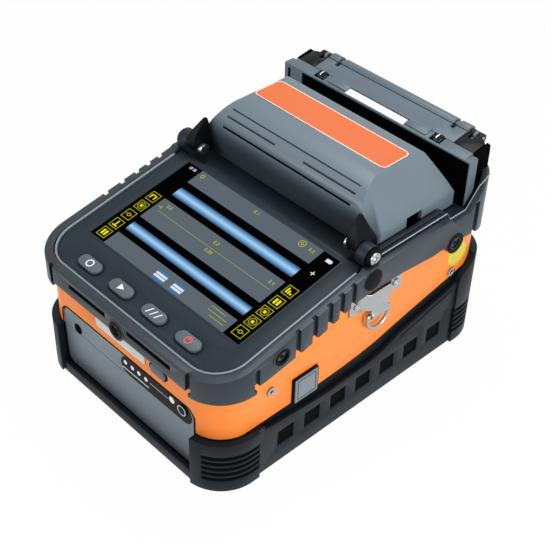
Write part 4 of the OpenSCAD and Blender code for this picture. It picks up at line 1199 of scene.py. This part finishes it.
@dataclass
class BatteryFace:
    """Lamps and signs behind the battery's window."""

    face: float = -91.3
    lamp_x: tuple[float, ...] = (-0.5, 4.8, 9.7, 14.9)
    lamp_z: float = 39.7
    lamp: Turned = Turned(91.34, 1.25, 0.12, 24)
    wide_lamp: Turned = Turned(91.34, 1.9, 0.12, 24)
    wide_lamp_at: Pair = (33.8, 40.4)
    lines: tuple[Bar, ...] = ((-3, 35.2, 17, 35.9), (18, 39.2, 31, 39.5))
    key_ring: Turned = Turned(91.96, 2.9, 0.12, 32, 2.4)
    key_at: Pair = (41.4, 39.7)

    def build(self) -> None:
        """Makes the lamps, the lines and the ring of the test key."""
        lamps = [self.lamp.on_front(x, self.lamp_z) for x in self.lamp_x]
        lamps.append(self.wide_lamp.on_front(*self.wide_lamp_at))
        Bench.group("battery_lamps", lamps, Finishes.WHITE_MARK, "battery")
        lines = [Bench.block("line", (x0, self.face - 0.14, z0), (x1, self.face - 0.02, z1))
                 for x0, z0, x1, z1 in self.lines]
        Bench.group("battery_lines", lines, Finishes.STRIP, "battery")
        ring = self.key_ring.on_front(*self.key_at)
        Bench.group("test_key_ring", [ring], Finishes.STRIP, "battery_test_key")


@dataclass
class FrameDetails:
    """Black rings, painted shade in pits and grooves, and painted highlights along the edges of the bumper frame,
    the deck and the hinges.
    """

    front_boss: Pair = (-56.9, 71.22)
    rear_boss: Pair = (60.7, 73.0)
    middle_boss: Pair = (0.47, 83.26)
    nose_boss: Pair = (0.0, 63.2)
    front_ring: Turned = Turned(70.0, 4.5, 0.35, 48, 2.8)
    front_head: Turned = Turned(68.9, 2.7, 0.5, 32, 1.2)
    front_pit: Turned = Turned(68.7, 1.3, 0.3, 6)
    rear_ring: Turned = Turned(70.0, 5.65, 0.4, 48, 3.2)
    rear_lip: Turned = Turned(69.9, 3.25, 0.4, 48, 2.95)
    rear_pit: Turned = Turned(68.9, 2.9, 0.3)
    nose_ring: Turned = Turned(95.8, 4.7, 0.35, 48, 2.7)
    nose_head: Turned = Turned(94.6, 2.6, 0.5, 32, 1.2)
    nose_pit: Turned = Turned(94.6, 1.2, 0.3, 6)
    hinge: Pair = HINGE
    hinge_collar: Turned = Turned(65.7, 4.7, 1.5, 64, 3.4)
    hinge_face: Turned = Turned(65.75, 5.55, 0.3, 64, 4.6)
    middle_cap: Turned = Turned(70.0, 5.7, 0.35, 64)
    groove_shades: tuple[Box, ...] = (((-35.9, -95.2, 65.45), (-8.1, -94.0, 68.35)),
                                ((8.1, -95.2, 65.45), (38.9, -94.0, 68.35)))
    rail_edge: Pair = (65.3, 65.7)
    frame_edge: Pair = (66.3, 66.7)
    edge_path: tuple[Pair, ...] = ((56.4, 90.45), (58.0, 86.95), (69.9, 86.9), (78.6, 96.85), (86.2, 100.7))

    def build(self) -> None:
        """Makes the details of the frame."""
        self.bosses()
        self.hinges()
        self.edges()
        # Flat black blocks in the front grooves: painted shade.
        groove_shades = [Bench.block("groove_shade", *box) for box in self.groove_shades]
        Bench.group("frame_groove_shade", groove_shades, Finishes.SHADE, "chassis")

    def bosses(self) -> None:
        """Makes the black rings and bright screws inside the bosses, and black pits that paint the shade in their
        holes.
        """
        rings, screws = [], []
        front, rear, nose = self.front_boss, self.rear_boss, self.nose_boss
        # front_pit, rear_pit and nose_pit are flat black discs: painted shade inside the holes.
        for hand in SIDES:
            rings += [self.front_ring.on_side(hand, *front), self.rear_ring.on_side(hand, *rear),
                      self.rear_pit.on_side(hand, *rear), self.front_pit.on_side(hand, *front)]
            screws += [self.front_head.on_side(hand, *front), self.rear_lip.on_side(hand, *rear)]
        rings += [self.nose_ring.on_front(*nose), self.nose_pit.on_front(*nose)]
        screws.append(self.nose_head.on_front(*nose))
        for ring in rings:
            Bench.soften(ring, 0.12, 2)
        Bench.group("boss_rings", rings, Finishes.BOSS, "chassis")
        Bench.group("boss_screw_heads", screws, Finishes.SCREW, "chassis")

    def hinges(self) -> None:
        """Makes the black collars of the hinges and the caps of the bosses below them."""
        parts = []
        for hand in SIDES:
            parts += [self.hinge_collar.on_side(hand, *self.hinge), self.hinge_face.on_side(hand, *self.hinge),
                      self.middle_cap.on_side(hand, *self.middle_boss)]
        for part in parts:
            Bench.soften(part, 0.25, 3)
        Bench.group("hinge_collars", parts, Finishes.BOSS, "chassis")

    def edges(self) -> None:
        """Makes the painted highlights: thin pale strips that run back along the rails and up the frame."""
        # Painted highlights along the rail and frame edges.
        parts = []
        band = [*self.edge_path, *((y, z + 0.3) for y, z in reversed(self.edge_path))]
        for hand in SIDES:
            low, high = Bench.span(hand, *self.rail_edge)
            parts.append(Bench.block("edge", (low, 10.0, 90.5), (high, 56.8, 90.72)))
            low, high = Bench.span(hand, *self.frame_edge)
            parts.append(Bench.upright("edge", band, low, high))
        Bench.group("rail_painted_highlights", parts, Finishes.EDGE_HIGHLIGHT, "chassis")


@dataclass
class BootDetails:
    """Painted shade in the pockets and between the ribs, and raised panels of the rubber boot."""

    side: float = 68.6
    pocket_pitch: float = 17.7
    groove_low: float = 7.83
    groove_step: float = 3.5
    groove_high: float = 2.44
    corner: Pair = (48.1, 73.9)
    reach: float = 21.2
    rib_start: float = 68.7
    pocket_y: float = 1.4
    pocket_half: float = 5.15
    pocket_z: Pair = (11.85, 21.35)
    wedge: tuple[Pair, ...] = ((27.0, 29.6), (66.6, 38.6), (66.6, 27.0))

    def build(self) -> None:
        """Makes the details of the boot."""
        # Near-black plates in the pockets: painted shade.
        floors = []
        for hand in SIDES:
            low, high = Bench.span(hand, self.side - 1.05, self.side - 0.85)
            for index in range(-3, 4):
                y = index * self.pocket_pitch + self.pocket_y
                floors.append(Bench.block("floor", (low, y - self.pocket_half, self.pocket_z[0]),
                                          (high, y + self.pocket_half, self.pocket_z[1])))
        Bench.group("boot_pocket_shade", floors, Finishes.BOOT_SHADE, "chassis")
        self.ribs()
        wedges = []
        for hand in SIDES:
            wedge = Bench.upright("wedge", self.wedge, *Bench.span(hand, self.side, self.side + 0.45))
            Bench.soften(wedge, 0.2, 2)
            wedges.append(wedge)
        Bench.group("boot_wedges", wedges, Finishes.BOOT, "chassis")

    def ribs(self) -> None:
        """Makes the painted shade, thin black bands, between the ribs of the corner pads."""
        x, y = self.corner
        turns = [math.radians(6 * step) for step in range(12)]
        outer, inner = ([(x + away, self.rib_start)] + [(x + away * math.cos(turn), y + away * math.sin(turn))
                                                        for turn in turns]
                        for away in (self.reach + 0.12, self.reach - 0.3))
        parts = []
        for right in SIDES:
            for rear in SIDES:
                first = Bench.outline("gap", [(right * px, rear * py) for px, py in outer + inner[::-1]],
                                      self.groove_high)
                parts += [Bench.double(first, (0, 0, self.groove_low + self.groove_step * k)) for k in range(5)]
                bpy.data.objects.remove(first)
        Bench.group("boot_rib_shade", parts, Finishes.BOOT_SHADE, "chassis")


@dataclass
class CaseDetails:
    """Painted shade in seams, pits and holes, and small fasteners of the orange case and the battery."""

    screws: tuple[Pair, ...] = ((-59.9, 49.0), (65.8, 49.8))
    screw_head: Turned = Turned(66.6, 2.55, 0.45, 32, 1.15)
    screw_pit: Turned = Turned(66.5, 1.2, 0.2, 6)
    front: float = -91.78
    jack: Pair = (-38.6, 35.0)
    jack_hole: Turned = Turned(90.9, 2.7, 0.15, 32)
    jack_lip: Turned = Turned(91.2, 3.1, 0.2, 32, 2.65)

    def build(self) -> None:
        """Makes the details of the case."""
        self.port()
        heads, pits = [], []
        for hand in SIDES:
            for y, z in self.screws:
                heads.append(self.screw_head.on_side(hand, y, z))
                pits.append(self.screw_pit.on_side(hand, y, z))
        for head in heads:
            Bench.soften(head, 0.15, 2)
        Bench.group("case_screw_heads", heads, Finishes.BRIGHT, "chassis")
        # The screw pits and these two rings are flat black: painted shade in the pits and in the seams round the
        # latch and the battery.
        pits.append(self.ring(19.1, 49.5, 31.9, 55.9, 3.2, 0.7, 0.4))
        pits.append(self.ring(-50.55, 6.6, 50.55, 45.35, 5.7, 0.7, 0.2))
        Bench.group("case_seam_shade", pits, Finishes.SHADE, "chassis")
        # The jack hole's black disc is painted shade inside the hole.
        Bench.group("jack_hole", [self.jack_hole.on_front(*self.jack)], Finishes.SHADE, "battery")
        Bench.group("jack_lip", [self.jack_lip.on_front(*self.jack)], Finishes.BOSS, "battery")

    def ring(self, x0: float, z0: float, x1: float, z1: float, radius: float, line: float,
             height: float) -> Piece:
        """Makes a flat ring on the front of the case.

        Args:
            x0: left edge.
            z0: lower edge.
            x1: right edge.
            z1: upper edge.
            radius: radius of its corners.
            line: width of the ring.
            height: how far it stands out.

        Returns:
            The ring.
        """
        flat = Bench.ring_plate("ring", Bench.rounded(x0, z0, x1, z1, radius), line, height)
        return Bench.stand(flat, (0, self.front, 0), AHEAD)

    @staticmethod
    def port() -> None:
        """Makes the black ring round the side port, painted shade of its recess, and the sunk outline of its rubber
        cover, painted shade in that groove.
        """
        low, high = (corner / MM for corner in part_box("port_cover"))
        # The black ring paints the shade of the recess round the port.
        around = Bench.rounded(low.y - 0.9, low.z - 0.2, high.y + 0.9, high.z + 0.9, 1.8)
        recess_shade = Bench.ring_plate("port_recess_shade", around, 1.0, 1.2)
        recess_shade = Bench.stand(recess_shade, (66.0, 0, 0), (1, 0, 0))
        Bench.soften(recess_shade, 0.2, 2, 50)
        Bench.give(recess_shade, Finishes.BOSS, "chassis")
        within = Bench.rounded(low.y + 1.5, low.z + 1.9, high.y - 1.3, high.z - 1.2, 1.0)
        # The sunk outline is painted shade.
        line = Bench.ring_plate("port_line", within, 0.4, 0.06)
        line = Bench.stand(line, (high.x - 0.02, 0, 0), (1, 0, 0))
        Bench.give(line, Finishes.KEY_SHADE, "port_cover")


@dataclass
class HeaterDetails:
    """The heater's painted shade on its front, cheeks and seams, and its clips."""

    clip_x: float = 40.0
    cheek_x: Pair = (60.65, 61.3)
    lid_seam: Box = ((-47.8, 88.2, 115.5), (47.8, 88.62, 115.78))
    face: Box = ((-50.5, 71.2, 86.2), (63.5, 71.36, 111.7))
    slot: Box = ((-61.2, 71.2, 104.6), (-59.6, 71.36, 110.4))
    seam: Box = ((-60.4, 77.62, 112.6), (60.4, 77.88, 113.86))
    cheek: tuple[Pair, ...] = ((77.9, 86.4), (90.4, 86.4), (90.5, 110.0), (90.1, 113.6), (88.0, 115.4),
                               (78.3, 113.8), (77.9, 112.6))
    hook: tuple[Pair, ...] = ((73.6, 113.9), (74.2, 114.9), (77.2, 115.3), (77.8, 114.6), (77.0, 114.4),
                              (74.6, 114.2))
    hook_x: Pair = (-0.3, 0.5)
    cap: Box = ((-2.05, 73.7, 113.6), (2.05, 78.3, 114.2))
    pits: tuple[Box, ...] = (((-3.35, 72.65, 108.62), (3.35, 77.5, 108.8)),
                             ((-3.38, 72.65, 108.7), (-3.25, 77.5, 113.1)),
                             ((3.25, 72.65, 108.7), (3.38, 77.5, 113.1)))

    def build(self) -> None:
        """Makes the details of the heater."""
        # The lid seam is a flat black block: painted shade.
        Bench.give(Bench.block("lid_seam", *self.lid_seam), Finishes.SHADE, "heater_lid")
        self.front()
        self.clips()

    def front(self) -> None:
        """Paints the shade on the face towards the wind cover, on the cheeks, in the small slot and in the seam,
        with flat black blocks.
        """
        parts = [Bench.block("face", *self.face)]
        parts += [Bench.upright("cheek", self.cheek, *Bench.span(hand, *self.cheek_x)) for hand in SIDES]
        parts += [Bench.block("slot", *self.slot), Bench.block("seam", *self.seam)]
        Bench.group("heater_shade", parts, Finishes.SHADE, "chassis")

    @staticmethod
    def at_clip(box: Box, x: float) -> Piece:
        """Makes a block whose place is given from a clip's middle, x."""
        low, high = box
        return Bench.block("block", (low[0] + x, *low[1:]), (high[0] + x, *high[1:]))

    def clips(self) -> None:
        """Makes the clips that hold the lid on the bar."""
        pits, caps, levers = [], [], []
        for hand in SIDES:
            x = hand * self.clip_x
            pits += [self.at_clip(box, x) for box in self.pits]
            caps.append(self.at_clip(self.cap, x))
            lever = Bench.upright("lever", self.hook, x + self.hook_x[0], x + self.hook_x[1])
            Bench.soften(lever, 0.12, 2)
            levers.append(lever)
        # The clip pits are flat black: painted shade.
        Bench.group("clip_pits", pits, Finishes.SHADE, "chassis")
        Bench.group("clip_caps", caps, Finishes.CLAMP, "heater_lid")
        Bench.group("clip_levers", levers, Finishes.BRIGHT, "heater_lid")


@dataclass
class Studio:
    """Floor, light and camera."""

    eye: Point = (334.5, -324.4, 433.9)
    aim: Point = (22.7, -16.3, 66.1)
    lens: float = 77.44
    roll: float = 1.827
    lamps: tuple[tuple[str, Point, float, float], ...] = (
        ("lamp_top", (-40, 160, 640), 420, 2.9), ("lamp_right", (640, -60, 300), 360, 3.5),
        ("lamp_front", (-260, -560, 320), 300, 1.7))
    room_light: float = 0.16
    floor_white: float = 0.965

    def build(self) -> None:
        """Sets up the scene."""
        self.floor()
        self.world()
        for name, place, size, power in self.lamps:
            self.lamp(name, place, size, power)
        data = bpy.data.cameras.new("camera")
        data.lens, data.sensor_width = self.lens, 36.0
        data.clip_start, data.clip_end = 0.01, 20.0
        camera = bpy.data.objects.new("camera", data)
        bpy.context.scene.collection.objects.link(camera)
        camera.location = Vector(self.eye) * MM
        turn = (Vector(self.aim) - Vector(self.eye)).to_track_quat("-Z", "Y")
        camera.rotation_euler = (turn @ Quaternion(UP, math.radians(self.roll))).to_euler()
        bpy.context.scene.camera = camera
        bpy.context.scene.view_settings.view_transform = "Standard"

    def lamp(self, name: str, place: Point, size: float, power: float) -> None:
        """Adds one square soft lamp that faces the object.

        Args:
            name: its name.
            place: where it hangs.
            size: its side.
            power: its power in watts.
        """
        data = bpy.data.lights.new(name, "AREA")
        data.size, data.energy = size * MM, power
        lamp = bpy.data.objects.new(name, data)
        bpy.context.scene.collection.objects.link(lamp)
        lamp.location = Vector(place) * MM
        lamp.rotation_euler = (Vector((0, 0, 60)) - Vector(place)).to_track_quat("-Z", "Y").to_euler()

    @staticmethod
    def seen(tree: Tree) -> Socket:
        """Returns a socket that is 1 where the surroundings are seen, directly, mirrored or through glass.

        Args:
            tree: the nodes to add to.

        Returns:
            The socket.
        """
        rays = wire(tree, "LightPath")
        mirrored = wire(tree, "Math", {0: rays.outputs["Is Camera Ray"], 1: rays.outputs["Is Glossy Ray"]},
                        operation="MAXIMUM")
        through = wire(tree, "Math", {0: mirrored.outputs["Value"], 1: rays.outputs["Is Transmission Ray"]},
                       operation="MAXIMUM")
        return through.outputs["Value"]

    def floor(self) -> None:
        """Adds the pale floor."""
        Bench.clear()
        bpy.ops.mesh.primitive_plane_add(size=8)
        ground = bpy.context.object
        ground.name = "floor"
        paint = bpy.data.materials.new("floor_paint")
        paint.use_nodes = True
        tree = paint.node_tree
        shader = tree.nodes["Principled BSDF"]
        preset(shader, {"Base Color": (0.85, 0.85, 0.85, 1), "Roughness": 0.9, "Specular IOR Level": 0.1})
        white = wire(tree, "Emission")
        share = wire(tree, "Math", {0: self.seen(tree)}, {1: self.floor_white}, operation="MULTIPLY")
        blend = wire(tree, "MixShader", {"Fac": share.outputs["Value"], 1: shader.outputs["BSDF"],
                                         2: white.outputs["Emission"]})
        tree.links.new(blend.outputs["Shader"], tree.nodes["Material Output"].inputs["Surface"])
        ground.data.materials.append(paint)

    def world(self) -> None:
        """Adds the even light of the room."""
        room = bpy.data.worlds.new("room")
        bpy.context.scene.world = room
        room.use_nodes = True
        tree = room.node_tree
        back = tree.nodes["Background"]
        power = wire(tree, "MapRange", {"Value": self.seen(tree)}, {"To Min": self.room_light, "To Max": 1.0})
        tree.links.new(power.outputs["Result"], back.inputs["Strength"])
        preset(back, {"Color": (1, 1, 1, 1)})


def main() -> None:
    """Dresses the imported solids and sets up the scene."""
    logging.basicConfig(level=logging.INFO, format="%(name)s: %(message)s")
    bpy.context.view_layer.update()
    Bench.clear()
    Studio().build()
    PlainSolids().dress()
    for piece in (
        Moulding("body_shell", "chassis", Finishes.SHELL, 0.5),
        Moulding("rubber_boot", "chassis", Finishes.BOOT, 0.5),
        Moulding("bumper_frame", "chassis", Finishes.FRAME, 0.6, 3),
        Moulding("side_screws", "chassis", Finishes.BRIGHT, 0.25, 3),
        Moulding("splice_deck", "chassis", Finishes.DECK, 0.4),
        Moulding("front_panel", "chassis", Finishes.PANEL, 0.3),
        Moulding("panel_rim", "chassis", Finishes.RIM, 0.3, 3),
        Moulding("hinge_axles", "chassis", Finishes.BRIGHT, 0.4, 3),
        Moulding("strap_brackets", "chassis", Finishes.BRIGHT, 0.35, 3),
        Moulding("heater_base", "chassis", Finishes.HEATER, 0.5, 3),
        Moulding("heater_lid", "heater_lid", Finishes.HEATER, 0.4),
        Moulding("heater_clamp_left", "heater_clamp_left", Finishes.CLAMP, 0.4),
        Moulding("heater_clamp_right", "heater_clamp_right", Finishes.CLAMP, 0.4),
        Moulding("battery_case", "battery", Finishes.BATTERY, 0.5, 3),
        Moulding("battery_latch", "battery_latch", Finishes.KEY, 0.5, 3),
        Moulding("light_strip", "chassis", Finishes.STRIP, 0.2),
        Moulding("port_cover", "port_cover", Finishes.PORT, 0.5, 3),
    ):
        piece.build()
    WindCover().build()
    Screen().build()
    Keys().build()
    BatteryFace().build()
    for details in (FrameDetails(), BootDetails(), CaseDetails(), HeaterDetails()):
        details.build()


if __name__ == "__main__":
    main()
